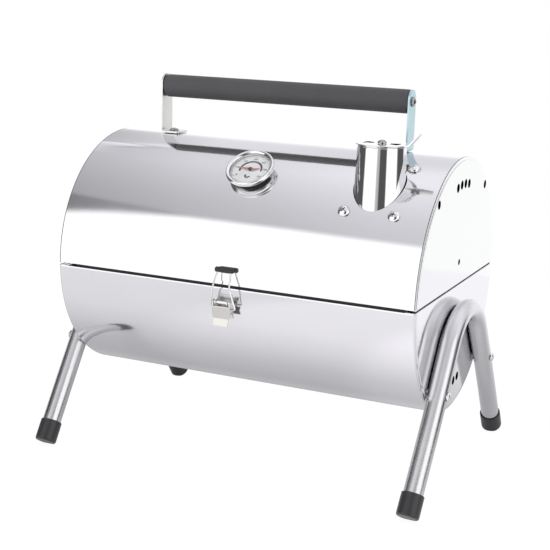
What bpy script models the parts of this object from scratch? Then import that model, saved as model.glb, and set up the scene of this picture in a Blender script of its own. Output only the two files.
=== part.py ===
"""Tabletop barrel charcoal grill: hinged half-drum lid, bent tube legs, chimney, thermometer and latch.

Metres, +Z up, +X along the barrel to the right, -Y to the front where the latch is. The origin is
on the ground, below the middle of the barrel.
"""

import math

import bmesh
import bpy
from mathutils import Matrix, Vector

# Driving dimensions.
BARREL_RADIUS = 0.1325
BARREL_LENGTH = 0.400
SEAM_HEIGHT = 0.202
SHEET = 0.0008
CLEARANCE = 0.0003

# Seam between the two half drums.
SHELL_SEAM_GAP = 0.0016
PLATE_SEAM_GAP = 0.0007
LIP_HEIGHT = 0.005
LIP_HALF_LENGTH = 0.1875

# End plates, the same stamping for lid and base.
PLATE_SEAT = 0.5 * BARREL_LENGTH - 0.0015
RIM_FACE = 0.5 * BARREL_LENGTH - 0.0006
PLATE_FACE = 0.5 * BARREL_LENGTH + 0.0002
RIM_WIDTH = 0.0038
FLANGE_DEPTH = 0.0095
VENT_ANGLES = (-10.5, -3.5, 3.5, 10.5)
VENT_CIRCLE_RADIUS = 0.105
VENT_RADIUS = 0.0043
BOLT_Y = 0.0796
BOLT_DROP = 0.0948
BOLT_HOLE_RADIUS = 0.0038
PILOT_HOLE_RISE = 0.0243
PILOT_HOLE_RADIUS = 0.0025

# Legs: one bent tube at each end.
LEG_RADIUS = 0.010
LEG_WALL = 0.0012
LEG_X = 0.2113
LEG_BEND_RADIUS = 0.0594
LEG_BEND_DROP = 0.0844
LEG_SPLAY = math.radians(34.6)
LEG_END_HEIGHT = 0.0075
LEG_HOLE_RADIUS = 0.0033
LEG_BOLT_HEAD_RADIUS = 0.0048
LEG_BOLT_HEAD_HEIGHT = 0.0026
LEG_BOLT_RADIUS = 0.0030
LEG_BOLT_LENGTH = 0.0300
SPACER_RADIUS = 0.0055
SPACER_BORE_RADIUS = 0.0034
LEG_NUT_WIDTH = 0.008
LEG_NUT_HEIGHT = 0.0050
CAP_RADIUS = 0.0122
CAP_FLOOR = 0.0035
CAP_DEPTH = 0.0225

# Carrying handle on the lid.
HANDLE_MIDDLE = -0.0025
STRAP_X = 0.1427
STRAP_WIDTH = 0.020
STRAP_THICKNESS = 0.0018
STRAP_ROUND_RISE = 0.0023
GRIP_HEIGHT = SEAM_HEIGHT + 0.184
GRIP_RADIUS = 0.0123
FOOT_SCREW_X = 0.1335
FOOT_END_X = 0.1220
HANDLE_HOLE_RADIUS = 0.0028
HANDLE_SCREW_HEAD_RADIUS = 0.0052
HANDLE_SCREW_RADIUS = 0.0024
GRIP_SCREW_LENGTH = 0.0200

# Chimney and damper.
CHIMNEY_X = 0.1375
CHIMNEY_Y = -0.0750
CHIMNEY_TOP = SEAM_HEIGHT + 0.1465
CHIMNEY_TOP_RADIUS = 0.0240
CHIMNEY_FOOT_RADIUS = 0.0266
CHIMNEY_WALL = 0.0010
DAMPER_RADIUS = 0.0259
CHIMNEY_SCREW_ANGLES = (22.5, 51.0)
CHIMNEY_SCREW_REACH = 0.0257
CHIMNEY_FOOT_TOP = SEAM_HEIGHT + 0.086
CHIMNEY_FOOT_END = SEAM_HEIGHT + 0.070
FLANGE_ANGLES = (math.radians(14.5), math.radians(59.0))
FLANGE_HALF_WIDTH = 0.0325
SLOT_INNER_RADIUS = 0.0085
SLOT_OUTER_RADIUS = 0.0185
CAP_SLOT_HALF_ANGLE = math.radians(28)
DAMPER_SLOT_HALF_ANGLE = math.radians(24)

# Thermometer in the front of the lid.
GAUGE_TILT = math.radians(36.5)
GAUGE_RADIUS = 0.0254
GAUGE_BACK = BARREL_RADIUS + 0.0030
GAUGE_FRONT = BARREL_RADIUS + 0.0115
DIAL_RADIUS = 0.0218
GLASS_RADIUS = 0.0220
STEM_RADIUS = 0.0050
STEM_HOLE_RADIUS = 0.0057
PROBE_RADIUS = 0.0024
PROBE_DEPTH = 0.0460
NEEDLE_TURN = math.radians(35)

# Latch at the middle of the front.
LATCH_PIVOT = Vector((0.0, -0.1400, SEAM_HEIGHT - 0.0150))
BAIL_PIVOT = Vector((0.0, -0.1385, SEAM_HEIGHT - 0.0215))
BAIL_BAR = Vector((0.0, -0.1362, SEAM_HEIGHT + 0.0175))
BAIL_BULGE = Vector((0.0, -0.1440, SEAM_HEIGHT + 0.0005))
BAIL_WIRE_RADIUS = 0.0009
LEVER_HALF_WIDTH = 0.0100
LEVER_SHEET = 0.0010
PIN_RADIUS = 0.0016
SLEEVE_RADIUS = 0.0028
SLEEVE_HALF_LENGTH = 0.0105
CATCH_GAP = 0.0003

# Rear hinges.
HINGE_X = 0.120
HINGE_Y = BARREL_RADIUS + 0.0045
HINGE_PIN_RADIUS = 0.0014
KNUCKLE_RADIUS = 0.0032

# Cooking grid and charcoal grate.
GRID_HALF_LENGTH = 0.1865
GRID_HALF_WIDTH = 0.1240
GRID_DROP = 0.0200
GRATE_DROP = 0.0800
GRATE_HALF_LENGTH = 0.1860
GRATE_HALF_WIDTH = 0.1030
GRID_THICKNESS = 0.0030
GRATE_THICKNESS = 0.0015

MATERIALS = {
    "polished_steel": ((0.80, 0.80, 0.81, 1.0), 1.0, 0.12),
    "plated_steel": ((0.72, 0.72, 0.73, 1.0), 1.0, 0.32),
    "bright_chrome": ((0.86, 0.86, 0.87, 1.0), 1.0, 0.06),
    "tinted_film": ((0.52, 0.72, 0.78, 1.0), 0.6, 0.25),
    "black_plastic": ((0.055, 0.055, 0.058, 1.0), 0.0, 0.55),
    "black_rubber": ((0.050, 0.050, 0.054, 1.0), 0.0, 0.70),
    "dial_white": ((0.88, 0.88, 0.86, 1.0), 0.0, 0.45),
    "needle_red": ((0.65, 0.06, 0.05, 1.0), 0.0, 0.40),
    "gauge_glass": ((0.95, 0.97, 0.98, 1.0), 0.0, 0.03),
    "enamelled_iron": ((0.045, 0.045, 0.047, 1.0), 0.2, 0.50),
}


def clear_scene():
    for item in list(bpy.context.scene.objects):
        bpy.data.objects.remove(item, do_unlink=True)


def material(name):
    found = bpy.data.materials.get(name)
    if found:
        return found
    colour, metallic, roughness = MATERIALS[name]
    made = bpy.data.materials.new(name)
    made.use_nodes = True
    shader = made.node_tree.nodes["Principled BSDF"]
    shader.inputs["Base Color"].default_value = colour
    shader.inputs["Metallic"].default_value = metallic
    shader.inputs["Roughness"].default_value = roughness
    return made


def add_object(name, form, finish, sharp_degrees=35.0):
    """An object from a bmesh form, with its normals outward."""
    bmesh.ops.remove_doubles(form, verts=form.verts, dist=0.000002)
    bmesh.ops.recalc_face_normals(form, faces=form.faces)
    mesh = bpy.data.meshes.new(name)
    form.to_mesh(mesh)
    form.free()
    mesh.shade_smooth()
    mesh.set_sharp_from_angle(angle=math.radians(sharp_degrees))
    mesh.materials.append(material(finish))
    made = bpy.data.objects.new(name, mesh)
    bpy.context.scene.collection.objects.link(made)
    return made


def aim(item, location, direction):
    """Places an object with its own +Z along a direction."""
    turn = Vector(direction).to_track_quat("Z", "Y").to_matrix().to_4x4()
    item.matrix_world = Matrix.Translation(Vector(location)) @ turn
    return item


def spun(profile, steps):
    """A form turned about Z from a profile of (radius, height) points, closed if it leaves the axis."""
    form = bmesh.new()
    points = [form.verts.new((radius, 0.0, height)) for radius, height in profile]
    edges = [form.edges.new(pair) for pair in zip(points, points[1:])]
    if profile[0][0] > 0.0:
        edges.append(form.edges.new((points[-1], points[0])))
    bmesh.ops.spin(
        form,
        geom=points + edges,
        cent=(0, 0, 0),
        axis=(0, 0, 1),
        angle=math.tau,
        steps=steps,
        use_merge=True,
    )
    bmesh.ops.remove_doubles(form, verts=form.verts, dist=0.000002)
    return form


def turned(name, profile, finish, location=(0, 0, 0), direction=(0, 0, 1), steps=24):
    return aim(add_object(name, spun(profile, steps), finish), location, direction)


def extruded_form(outline, depth):
    """A form from an outline of points in space, extruded along a vector."""
    form = bmesh.new()
    face = form.faces.new([form.verts.new(point) for point in outline])
    grown = bmesh.ops.extrude_face_region(form, geom=[face])
    moved = [part for part in grown["geom"] if isinstance(part, bmesh.types.BMVert)]
    bmesh.ops.translate(form, verts=moved, vec=depth)
    return form


def extruded(name, outline, depth, finish):
    return add_object(name, extruded_form(outline, depth), finish)


def box_outline(low, high):
    return [
        (low[0], low[1], low[2]),
        (high[0], low[1], low[2]),
        (high[0], high[1], low[2]),
        (low[0], high[1], low[2]),
    ]


def box(name, low, high, finish):
    return extruded(name, box_outline(low, high), Vector((0, 0, high[2] - low[2])), finish)


def hide(helper):
    helper.hide_render = True
    helper.display_type = "WIRE"
    return helper


def combine(item, helper, operation):
    """Adds a Boolean whose operand is a hidden helper standing in place."""
    step = item.modifiers.new(helper.name, "BOOLEAN")
    step.operation = operation
    step.object = hide(helper)
    return item


def drill(item, location, direction, radius, depth, steps=8):
    """Cuts a round hole, centred on a location, through depth on both sides of it."""
    profile = [(0, depth), (radius, depth), (radius, -depth), (0, -depth)]
    name = f"{item.name}_hole_{len(item.modifiers)}"
    return combine(item, turned(name, profile, "plated_steel", location, direction, steps), "DIFFERENCE")


def weld(item, helper):
    return combine(item, helper, "UNION")


def drum_point(x, radius, angle):
    """A point on the drum, its angle in radians from straight up towards the front."""
    return Vector((x, -radius * math.sin(angle), SEAM_HEIGHT + radius * math.cos(angle)))


def drum_direction(angle):
    return Vector((0.0, -math.sin(angle), math.cos(angle)))


def band(name, x_range, radii, angles, finish, steps):
    """A strip of sheet wrapped round the drum between two angles."""
    start, end = angles
    sweep = [start + (end - start) * step / steps for step in range(steps + 1)]
    outline = [drum_point(x_range[0], radii[1], angle) for angle in sweep]
    outline += [drum_point(x_range[0], radii[0], angle) for angle in reversed(sweep)]
    return extruded(name, outline, Vector((x_range[1] - x_range[0], 0, 0)), finish)


def half_disc(x, radius, edge, side, steps):
    """Loop round a half disc in a plane of constant X, its straight edge at a distance from the seam."""
    start = math.asin(edge / radius)
    angles = [start + (math.pi - 2 * start) * step / steps for step in range(steps + 1)]
    height = [SEAM_HEIGHT + side * radius * math.sin(angle) for angle in angles]
    return [Vector((x, radius * math.cos(angle), z)) for angle, z in zip(angles, height)]


def lofted(name, loops, finish, sharp_degrees=35.0):
    """A closed form through loops with the same number of points, capped at both ends."""
    form = bmesh.new()
    rings = [[form.verts.new(point) for point in loop] for loop in loops]
    count = len(rings[0])
    for ring, following in zip(rings, rings[1:]):
        for index in range(count):
            after = (index + 1) % count
            form.faces.new((ring[index], ring[after], following[after], following[index]))
    form.faces.new(rings[0])
    form.faces.new(rings[-1])
    return add_object(name, form, finish, sharp_degrees)


def swept(name, path, radius, finish, sides=8):
    """A round bar of constant section along a path of points."""
    loops = []
    side = Vector((0.0, 1.0, 0.0))
    for index, point in enumerate(path):
        before = path[max(index - 1, 0)]
        after = path[min(index + 1, len(path) - 1)]
        along = (after - before).normalized()
        side = (side - along * side.dot(along)).normalized()
        across = along.cross(side)
        turn = [math.tau * step / sides for step in range(sides)]
        loops.append([point + radius * (side * math.cos(a) + across * math.sin(a)) for a in turn])
    return lofted(name, loops, finish, 50.0)


def rounded(corners, radius, steps=4):
    """A path through corners, with each inner corner replaced by an arc-like curve."""
    path = [corners[0]]
    for before, corner, after in zip(corners, corners[1:], corners[2:]):
        start = corner + (before - corner).normalized() * radius
        end = corner + (after - corner).normalized() * radius
        for step in range(steps + 1):
            t = step / steps
            path.append(start * (1 - t) ** 2 + corner * 2 * t * (1 - t) + end * t**2)
    return path + [corners[-1]]


def dome_head(radius, height, steps=3):
    """Profile points of a domed screw head, from its top on the axis down to its rim."""
    angles = [0.5 * math.pi * step / steps for step in range(steps)]
    return [(radius * math.sin(a), height * (0.25 + 0.75 * math.cos(a))) for a in angles] + [
        (radius, 0.25 * height),
        (radius, 0.0),
    ]


def screw(name, location, direction, head, height, shank, length, finish, nut=None, steps=10):
    """A dome-headed screw, its seat at the location. A nut is (radius, start, end) along the shank."""
    profile = dome_head(head, height) + [(shank, 0.0)]
    if nut:
        radius, start, end = nut
        profile += [(shank, -start), (radius, -start), (radius, -end), (shank, -end)]
    profile += [(shank, -length), (0.0, -length)]
    return turned(name, profile, finish, location, direction, steps)


def hex_nut(name, location, direction, across_flats, bore, height, finish):
    """A nut whose six-sided bore clears a round shank of the bore's radius."""
    corner = across_flats / math.sqrt(3.0)
    wide = bore / math.cos(math.pi / 6)
    profile = [(wide, 0), (wide, height), (corner, height), (corner, 0)]
    return turned(name, profile, finish, location, direction, 6)


def make_half_drum(prefix, side):
    """The curved shell of the lid (side +1) or the base (side -1)."""
    edge = math.asin(SHELL_SEAM_GAP / BARREL_RADIUS)
    half = 0.5 * math.pi - edge
    centre = 0.0 if side > 0 else math.pi
    reach = PLATE_SEAT - CLEARANCE
    return band(
        f"{prefix}_shell",
        (-reach, reach),
        (BARREL_RADIUS - SHEET, BARREL_RADIUS),
        (centre - half, centre + half),
        "polished_steel",
        44,
    )


def make_seam_lips(base_shell):
    """The strips along the base's long edges that stand up inside the closed lid."""
    inner = BARREL_RADIUS - 0.0030
    top = SEAM_HEIGHT + LIP_HEIGHT
    step = SEAM_HEIGHT - SHELL_SEAM_GAP - 0.0004
    for label, sign in (("front", -1), ("rear", 1)):
        section = [
            (BARREL_RADIUS - 0.0004, step),
            (inner + SHEET, step),
            (inner + SHEET, top),
            (inner, top),
            (inner, step - SHEET),
            (BARREL_RADIUS - 0.0004, step - SHEET),
        ]
        outline = [Vector((-LIP_HALF_LENGTH, sign * y, z)) for y, z in section]
        lip = extruded(f"{label}_lip", outline, Vector((2 * LIP_HALF_LENGTH, 0, 0)), "polished_steel")
        weld(base_shell, lip)


def make_end_plate(prefix, label, end, side):
    """A half disc with a raised panel, a rim and an inner flange. end is +1 at the right of the barrel."""
    seam = PLATE_SEAM_GAP
    tray = BARREL_RADIUS - SHEET - CLEARANCE
    panel = BARREL_RADIUS - RIM_WIDTH
    sections = [
        (PLATE_FACE, panel, seam + 0.0020),
        (PLATE_FACE - 0.0003, panel + 0.0003, seam + 0.0017),
        (RIM_FACE, panel + 0.0006, seam + 0.0014),
        (RIM_FACE, BARREL_RADIUS - 0.0004, seam + 0.0003),
        (RIM_FACE - 0.0004, BARREL_RADIUS, seam),
        (PLATE_SEAT, BARREL_RADIUS, seam),
        (PLATE_SEAT, tray, seam + 0.0003),
        (PLATE_SEAT - FLANGE_DEPTH, tray, seam + 0.0003),
        (PLATE_SEAT - FLANGE_DEPTH, tray - SHEET, seam + 0.0011),
        (RIM_FACE - SHEET, tray - SHEET, seam + 0.0011),
        (RIM_FACE - SHEET, panel - 0.0004, seam + 0.0024),
        (PLATE_FACE - SHEET, panel - 0.0008, seam + 0.0028),
    ]
    loops = [half_disc(end * x, radius, edge, side, 26) for x, radius, edge in sections]
    plate = lofted(f"{prefix}_end_plate_{label}", loops, "polished_steel")
    for degrees in VENT_ANGLES:
        angle = math.radians(degrees)
        y = VENT_CIRCLE_RADIUS * math.sin(angle)
        z = SEAM_HEIGHT + side * VENT_CIRCLE_RADIUS * math.cos(angle)
        drill(plate, (end * PLATE_FACE, y, z), (1, 0, 0), VENT_RADIUS, 0.004)
    for y in (-BOLT_Y, BOLT_Y):
        centre = (end * PLATE_FACE, y, SEAM_HEIGHT + side * BOLT_DROP)
        drill(plate, centre, (1, 0, 0), BOLT_HOLE_RADIUS, 0.004)
    centre = (end * PLATE_FACE, 0.0, SEAM_HEIGHT + side * PILOT_HOLE_RISE)
    drill(plate, centre, (1, 0, 0), PILOT_HOLE_RADIUS, 0.004)
    return plate


def make_grid_ledges(plate, end):
    """Two tabs bent inward from a base end plate, which carry the cooking grid."""
    for number, y in enumerate((-0.060, 0.060)):
        top = SEAM_HEIGHT - GRID_DROP - GRID_THICKNESS - CLEARANCE
        inner = end * (PLATE_FACE - 0.0180)
        outer = end * (PLATE_FACE - 0.0004)
        low = (min(inner, outer), y - 0.015, top - 0.0010)
        high = (max(inner, outer), y + 0.015, top)
        weld(plate, box(f"{plate.name}_ledge_{number}", low, high, "polished_steel"))


def make_leg(label, end):
    """A tube bent over the barrel's axis, with its two ends splayed to the front and the rear."""
    x = end * LEG_X
    centre = Vector((x, 0.0, SEAM_HEIGHT - LEG_BEND_DROP))
    normal = Vector((0.0, math.cos(LEG_SPLAY), math.sin(LEG_SPLAY)))
    tangent = centre + LEG_BEND_RADIUS * normal
    down = Vector((0.0, math.sin(LEG_SPLAY), -math.cos(LEG_SPLAY)))
    length = (tangent.z - LEG_END_HEIGHT) / math.cos(LEG_SPLAY)
    form = bmesh.new()
    ring = bmesh.ops.create_circle(form, radius=LEG_RADIUS, segments=12)["verts"]
    turn = down.to_track_quat("Z", "X").to_matrix().to_4x4()
    bmesh.ops.transform(form, matrix=Matrix.Translation(tangent + down * length) @ turn, verts=ring)
    straight = bmesh.ops.extrude_edge_only(form, edges=form.edges[:])["geom"]
    points = [part for part in straight if isinstance(part, bmesh.types.BMVert)]
    bmesh.ops.translate(form, verts=points, vec=-down * length)
    edges = [part for part in straight if isinstance(part, bmesh.types.BMEdge)]
    sweep = math.pi - 2 * LEG_SPLAY
    bend = bmesh.ops.spin(form, geom=edges + points, cent=centre, axis=(1, 0, 0), angle=sweep, steps=14)
    far = [part for part in bend["geom_last"] if isinstance(part, bmesh.types.BMEdge)]
    last = bmesh.ops.extrude_edge_only(form, edges=far)["geom"]
    points = [part for part in last if isinstance(part, bmesh.types.BMVert)]
    rear_down = Vector((0.0, -math.sin(LEG_SPLAY), -math.cos(LEG_SPLAY)))
    bmesh.ops.translate(form, verts=points, vec=rear_down * length)
    leg = add_object(f"leg_{label}", form, "plated_steel", 60.0)
    wall = leg.modifiers.new("wall", "SOLIDIFY")
    wall.thickness = LEG_WALL
    wall.offset = -1.0
    wall.use_even_offset = True
    for y in (-BOLT_Y, BOLT_Y):
        drill(leg, (x, y, SEAM_HEIGHT - BOLT_DROP), (1, 0, 0), LEG_HOLE_RADIUS, 0.02)
    return leg


def make_foot_cap(name, end, sign):
    """A rubber cup on a leg end, its sole trimmed level with the ground."""
    down = Vector((0.0, sign * math.sin(LEG_SPLAY), -math.cos(LEG_SPLAY)))
    normal_y = math.cos(LEG_SPLAY)
    tangent_z = SEAM_HEIGHT - LEG_BEND_DROP + LEG_BEND_RADIUS * math.sin(LEG_SPLAY)
    length = (tangent_z - LEG_END_HEIGHT) / math.cos(LEG_SPLAY)
    tangent = Vector((end * LEG_X, sign * LEG_BEND_RADIUS * normal_y, tangent_z))
    tube_end = tangent + down * length
    bore = LEG_RADIUS + CLEARANCE
    profile = [
        (0.0, CLEARANCE),
        (bore, CLEARANCE),
        (bore, -CAP_DEPTH),
        (CAP_RADIUS - 0.0006, -CAP_DEPTH),
        (CAP_RADIUS, -CAP_DEPTH + 0.0012),
        (CAP_RADIUS, CAP_FLOOR - 0.0018),
        (CAP_RADIUS - 0.0006, CAP_FLOOR - 0.0006),
        (CAP_RADIUS - 0.0018, CAP_FLOOR),
        (0.0, CAP_FLOOR),
    ]
    cap = turned(name, profile, "black_rubber", tube_end, down, 16)
    low = (end * LEG_X - 0.03, sign * 0.145 - 0.04, -0.03)
    high = (end * LEG_X + 0.03, sign * 0.145 + 0.04, 0.0)
    return combine(cap, box(f"{name}_ground", low, high, "black_rubber"), "DIFFERENCE")


def make_leg_fasteners(place, end, sign):
    """Bolt, spacer and nut that hold a leg tube to a base end plate."""
    y = sign * BOLT_Y
    z = SEAM_HEIGHT - BOLT_DROP
    seat = (end * (LEG_X + LEG_RADIUS + CLEARANCE), y, z)
    screw(
        f"leg_bolt_{place}",
        seat,
        (end, 0, 0),
        LEG_BOLT_HEAD_RADIUS,
        LEG_BOLT_HEAD_HEIGHT,
        LEG_BOLT_RADIUS,
        LEG_BOLT_LENGTH,
        "bright_chrome",
    )
    thick = LEG_X - LEG_RADIUS - PLATE_FACE - 2 * CLEARANCE
    bore = SPACER_BORE_RADIUS
    profile = [(bore, 0), (bore, thick), (SPACER_RADIUS, thick), (SPACER_RADIUS, 0)]
    start = (end * (PLATE_FACE + CLEARANCE), y, z)
    turned(f"leg_spacer_{place}", profile, "plated_steel", start, (end, 0, 0), 12)
    inside = (end * (RIM_FACE - SHEET - CLEARANCE), y, z)
    bore = LEG_BOLT_RADIUS + CLEARANCE
    name = f"leg_nut_{place}"
    hex_nut(name, inside, (-end, 0, 0), LEG_NUT_WIDTH, bore, LEG_NUT_HEIGHT, "plated_steel")


def make_handle():
    """Two strap brackets with feet turned inward, and the grip between them."""
    top = SEAM_HEIGHT + BARREL_RADIUS + CLEARANCE
    half = 0.5 * STRAP_WIDTH
    turns = [math.pi * step / 12 for step in range(13)]
    arc_z = GRIP_HEIGHT + STRAP_ROUND_RISE
    for label, end in (("left", -1), ("right", 1)):
        outer = STRAP_X + 0.5 * STRAP_THICKNESS
        outline = [(half * math.cos(a), arc_z + half * math.sin(a)) for a in turns]
        outline += [(-half, top), (half, top)]
        face = [Vector((HANDLE_MIDDLE + end * outer, y, z)) for y, z in outline]
        inward = Vector((-end * STRAP_THICKNESS, 0, 0))
        finish = "tinted_film" if end > 0 else "plated_steel"
        strap = extruded(f"handle_bracket_{label}", face, inward, finish)
        reaches = (FOOT_END_X, outer - 0.0005)
        low_x, high_x = sorted(HANDLE_MIDDLE + end * reach for reach in reaches)
        high = (high_x, half, top + STRAP_THICKNESS)
        weld(strap, box(f"{label}_foot", (low_x, -half, top), high, "plated_steel"))
        upright = (HANDLE_MIDDLE + end * STRAP_X, 0, GRIP_HEIGHT)
        drill(strap, upright, (1, 0, 0), HANDLE_HOLE_RADIUS, 0.005)
        screw_x = HANDLE_MIDDLE + end * FOOT_SCREW_X
        drill(strap, (screw_x, 0, top), (0, 0, 1), HANDLE_HOLE_RADIUS, 0.005)
        seat = (HANDLE_MIDDLE + end * (outer + CLEARANCE), 0, GRIP_HEIGHT)
        head = (HANDLE_SCREW_HEAD_RADIUS, 0.0030)
        name = f"grip_screw_{label}"
        screw(name, seat, (end, 0, 0), *head, HANDLE_SCREW_RADIUS, GRIP_SCREW_LENGTH, "bright_chrome")
        seat = (screw_x, 0, top + STRAP_THICKNESS + CLEARANCE)
        clinch = STRAP_THICKNESS + CLEARANCE + 0.0022
        nut = (0.0048, clinch, clinch + 0.0040)
        head = (HANDLE_SCREW_HEAD_RADIUS, 0.0026)
        name = f"handle_screw_{label}"
        screw(name, seat, (0, 0, 1), *head, HANDLE_SCREW_RADIUS, 0.0100, "bright_chrome", nut)
    reach = STRAP_X - 0.5 * STRAP_THICKNESS - CLEARANCE
    socket = reach - GRIP_SCREW_LENGTH
    bore = HANDLE_SCREW_RADIUS + CLEARANCE
    profile = [
        (0.0, socket),
        (bore, socket),
        (bore, reach),
        (GRIP_RADIUS - 0.0015, reach),
        (GRIP_RADIUS, reach - 0.0015),
        (GRIP_RADIUS, -reach + 0.0015),
        (GRIP_RADIUS - 0.0015, -reach),
        (bore, -reach),
        (bore, -socket),
        (0.0, -socket),
    ]
    turned("handle_grip", profile, "black_plastic", (HANDLE_MIDDLE, 0, GRIP_HEIGHT), (1, 0, 0), 18)


def cut_slots(disc, centre, half_turn, height):
    """Two opposite ring-sector slots through a disc."""
    inner, outer = SLOT_INNER_RADIUS, SLOT_OUTER_RADIUS
    for number, middle in enumerate((math.pi, 0.0)):
        angles = [middle + half_turn * (step / 3 - 1) for step in range(7)]
        outline = [Vector((outer * math.cos(a), outer * math.sin(a), 0)) for a in angles]
        outline += [Vector((inner * math.cos(a), inner * math.sin(a), 0)) for a in reversed(angles)]
        outline = [point + centre for point in outline]
        slot = extruded(f"{disc.name}_slot_{number}", outline, Vector((0, 0, height)), "plated_steel")
        combine(disc, slot, "DIFFERENCE")


def make_chimney(lid_shell):
    """Tube through the lid, held by a saddle flange inside, with a slotted cap and a turning damper."""
    axis = Vector((CHIMNEY_X, CHIMNEY_Y, 0.0))
    profile = [
        (CHIMNEY_TOP_RADIUS, CHIMNEY_TOP),
        (CHIMNEY_FOOT_RADIUS, CHIMNEY_FOOT_TOP),
        (CHIMNEY_FOOT_RADIUS, CHIMNEY_FOOT_END),
        (CHIMNEY_FOOT_RADIUS - CHIMNEY_WALL, CHIMNEY_FOOT_END),
        (CHIMNEY_FOOT_RADIUS - CHIMNEY_WALL, CHIMNEY_FOOT_TOP),
        (CHIMNEY_TOP_RADIUS - CHIMNEY_WALL, CHIMNEY_TOP),
    ]
    tube = turned("chimney_tube", profile, "bright_chrome", axis, (0, 0, 1), 24)
    inside = BARREL_RADIUS - 0.0040
    cutter = band("drum_inside", (0.08, 0.19), (0.030, inside), (0.0, 0.5 * math.pi), "plated_steel", 24)
    combine(tube, cutter, "DIFFERENCE")
    radii = (BARREL_RADIUS - SHEET - 0.0015, BARREL_RADIUS - SHEET - CLEARANCE)
    span = (CHIMNEY_X - FLANGE_HALF_WIDTH, CHIMNEY_X + FLANGE_HALF_WIDTH)
    flange = band("chimney_flange", span, radii, FLANGE_ANGLES, "plated_steel", 12)
    hole = (CHIMNEY_X, CHIMNEY_Y, SEAM_HEIGHT + BARREL_RADIUS)
    drill(flange, hole, (0, 0, 1), CHIMNEY_FOOT_RADIUS + 2 * CLEARANCE, 0.08, 24)
    drill(lid_shell, hole, (0, 0, 1), CHIMNEY_FOOT_RADIUS + 2 * CLEARANCE, 0.08, 24)
    for row, degrees in zip(("rear", "front"), CHIMNEY_SCREW_ANGLES):
        angle = math.radians(degrees)
        for label, sign in (("left", -1), ("right", 1)):
            x = CHIMNEY_X + sign * CHIMNEY_SCREW_REACH
            seat = drum_point(x, BARREL_RADIUS + CLEARANCE, angle)
            out = drum_direction(angle)
            drill(lid_shell, seat, out, 0.0023, 0.004)
            drill(flange, seat, out, 0.0023, 0.006)
            name = f"chimney_screw_{row}_{label}"
            screw(name, seat, out, 0.0060, 0.0040, 0.0020, 0.0075, "bright_chrome")
    cap_top = CHIMNEY_TOP + CLEARANCE + SHEET
    skirt = CHIMNEY_TOP_RADIUS - CHIMNEY_WALL - CLEARANCE
    profile = [
        (0.0021, cap_top),
        (CHIMNEY_TOP_RADIUS, cap_top),
        (CHIMNEY_TOP_RADIUS, cap_top - SHEET),
        (skirt, cap_top - SHEET),
        (skirt, cap_top - 0.0060),
        (skirt - SHEET, cap_top - 0.0060),
        (skirt - SHEET, cap_top - SHEET),
        (0.0021, cap_top - SHEET),
    ]
    cap = turned("chimney_cap", profile, "bright_chrome", axis, (0, 0, 1), 20)
    cut_slots(cap, axis + Vector((0, 0, cap_top - 0.002)), CAP_SLOT_HALF_ANGLE, 0.004)
    low = cap_top + CLEARANCE
    high = low + 0.0010
    profile = [
        (0.0021, high),
        (DAMPER_RADIUS - 0.0003, high),
        (DAMPER_RADIUS, high - 0.0003),
        (DAMPER_RADIUS, low),
        (0.0021, low),
    ]
    damper = turned("damper_disc", profile, "bright_chrome", axis, (0, 0, 1), 24)
    cut_slots(damper, axis + Vector((0, 0, low - 0.002)), DAMPER_SLOT_HALF_ANGLE, 0.005)
    tab = [
        (0.0240, 0.0),
        (0.0287, 0.0),
        (0.0388, 0.0120),
        (0.0380, 0.0127),
        (0.0282, 0.0010),
        (0.0240, 0.0010),
    ]
    outline = [Vector((axis.x + x, axis.y - 0.0055, low + z)) for x, z in tab]
    weld(damper, extruded("damper_tab", outline, Vector((0, 0.0110, 0)), "bright_chrome"))
    seat = (axis.x, axis.y, high + CLEARANCE)
    nut_start = high - cap_top + SHEET + 2 * CLEARANCE
    nut = (0.0040, nut_start, nut_start + 0.0032)
    screw("damper_screw", seat, (0, 0, 1), 0.0046, 0.0030, 0.0018, 0.0075, "bright_chrome", nut)


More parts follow.
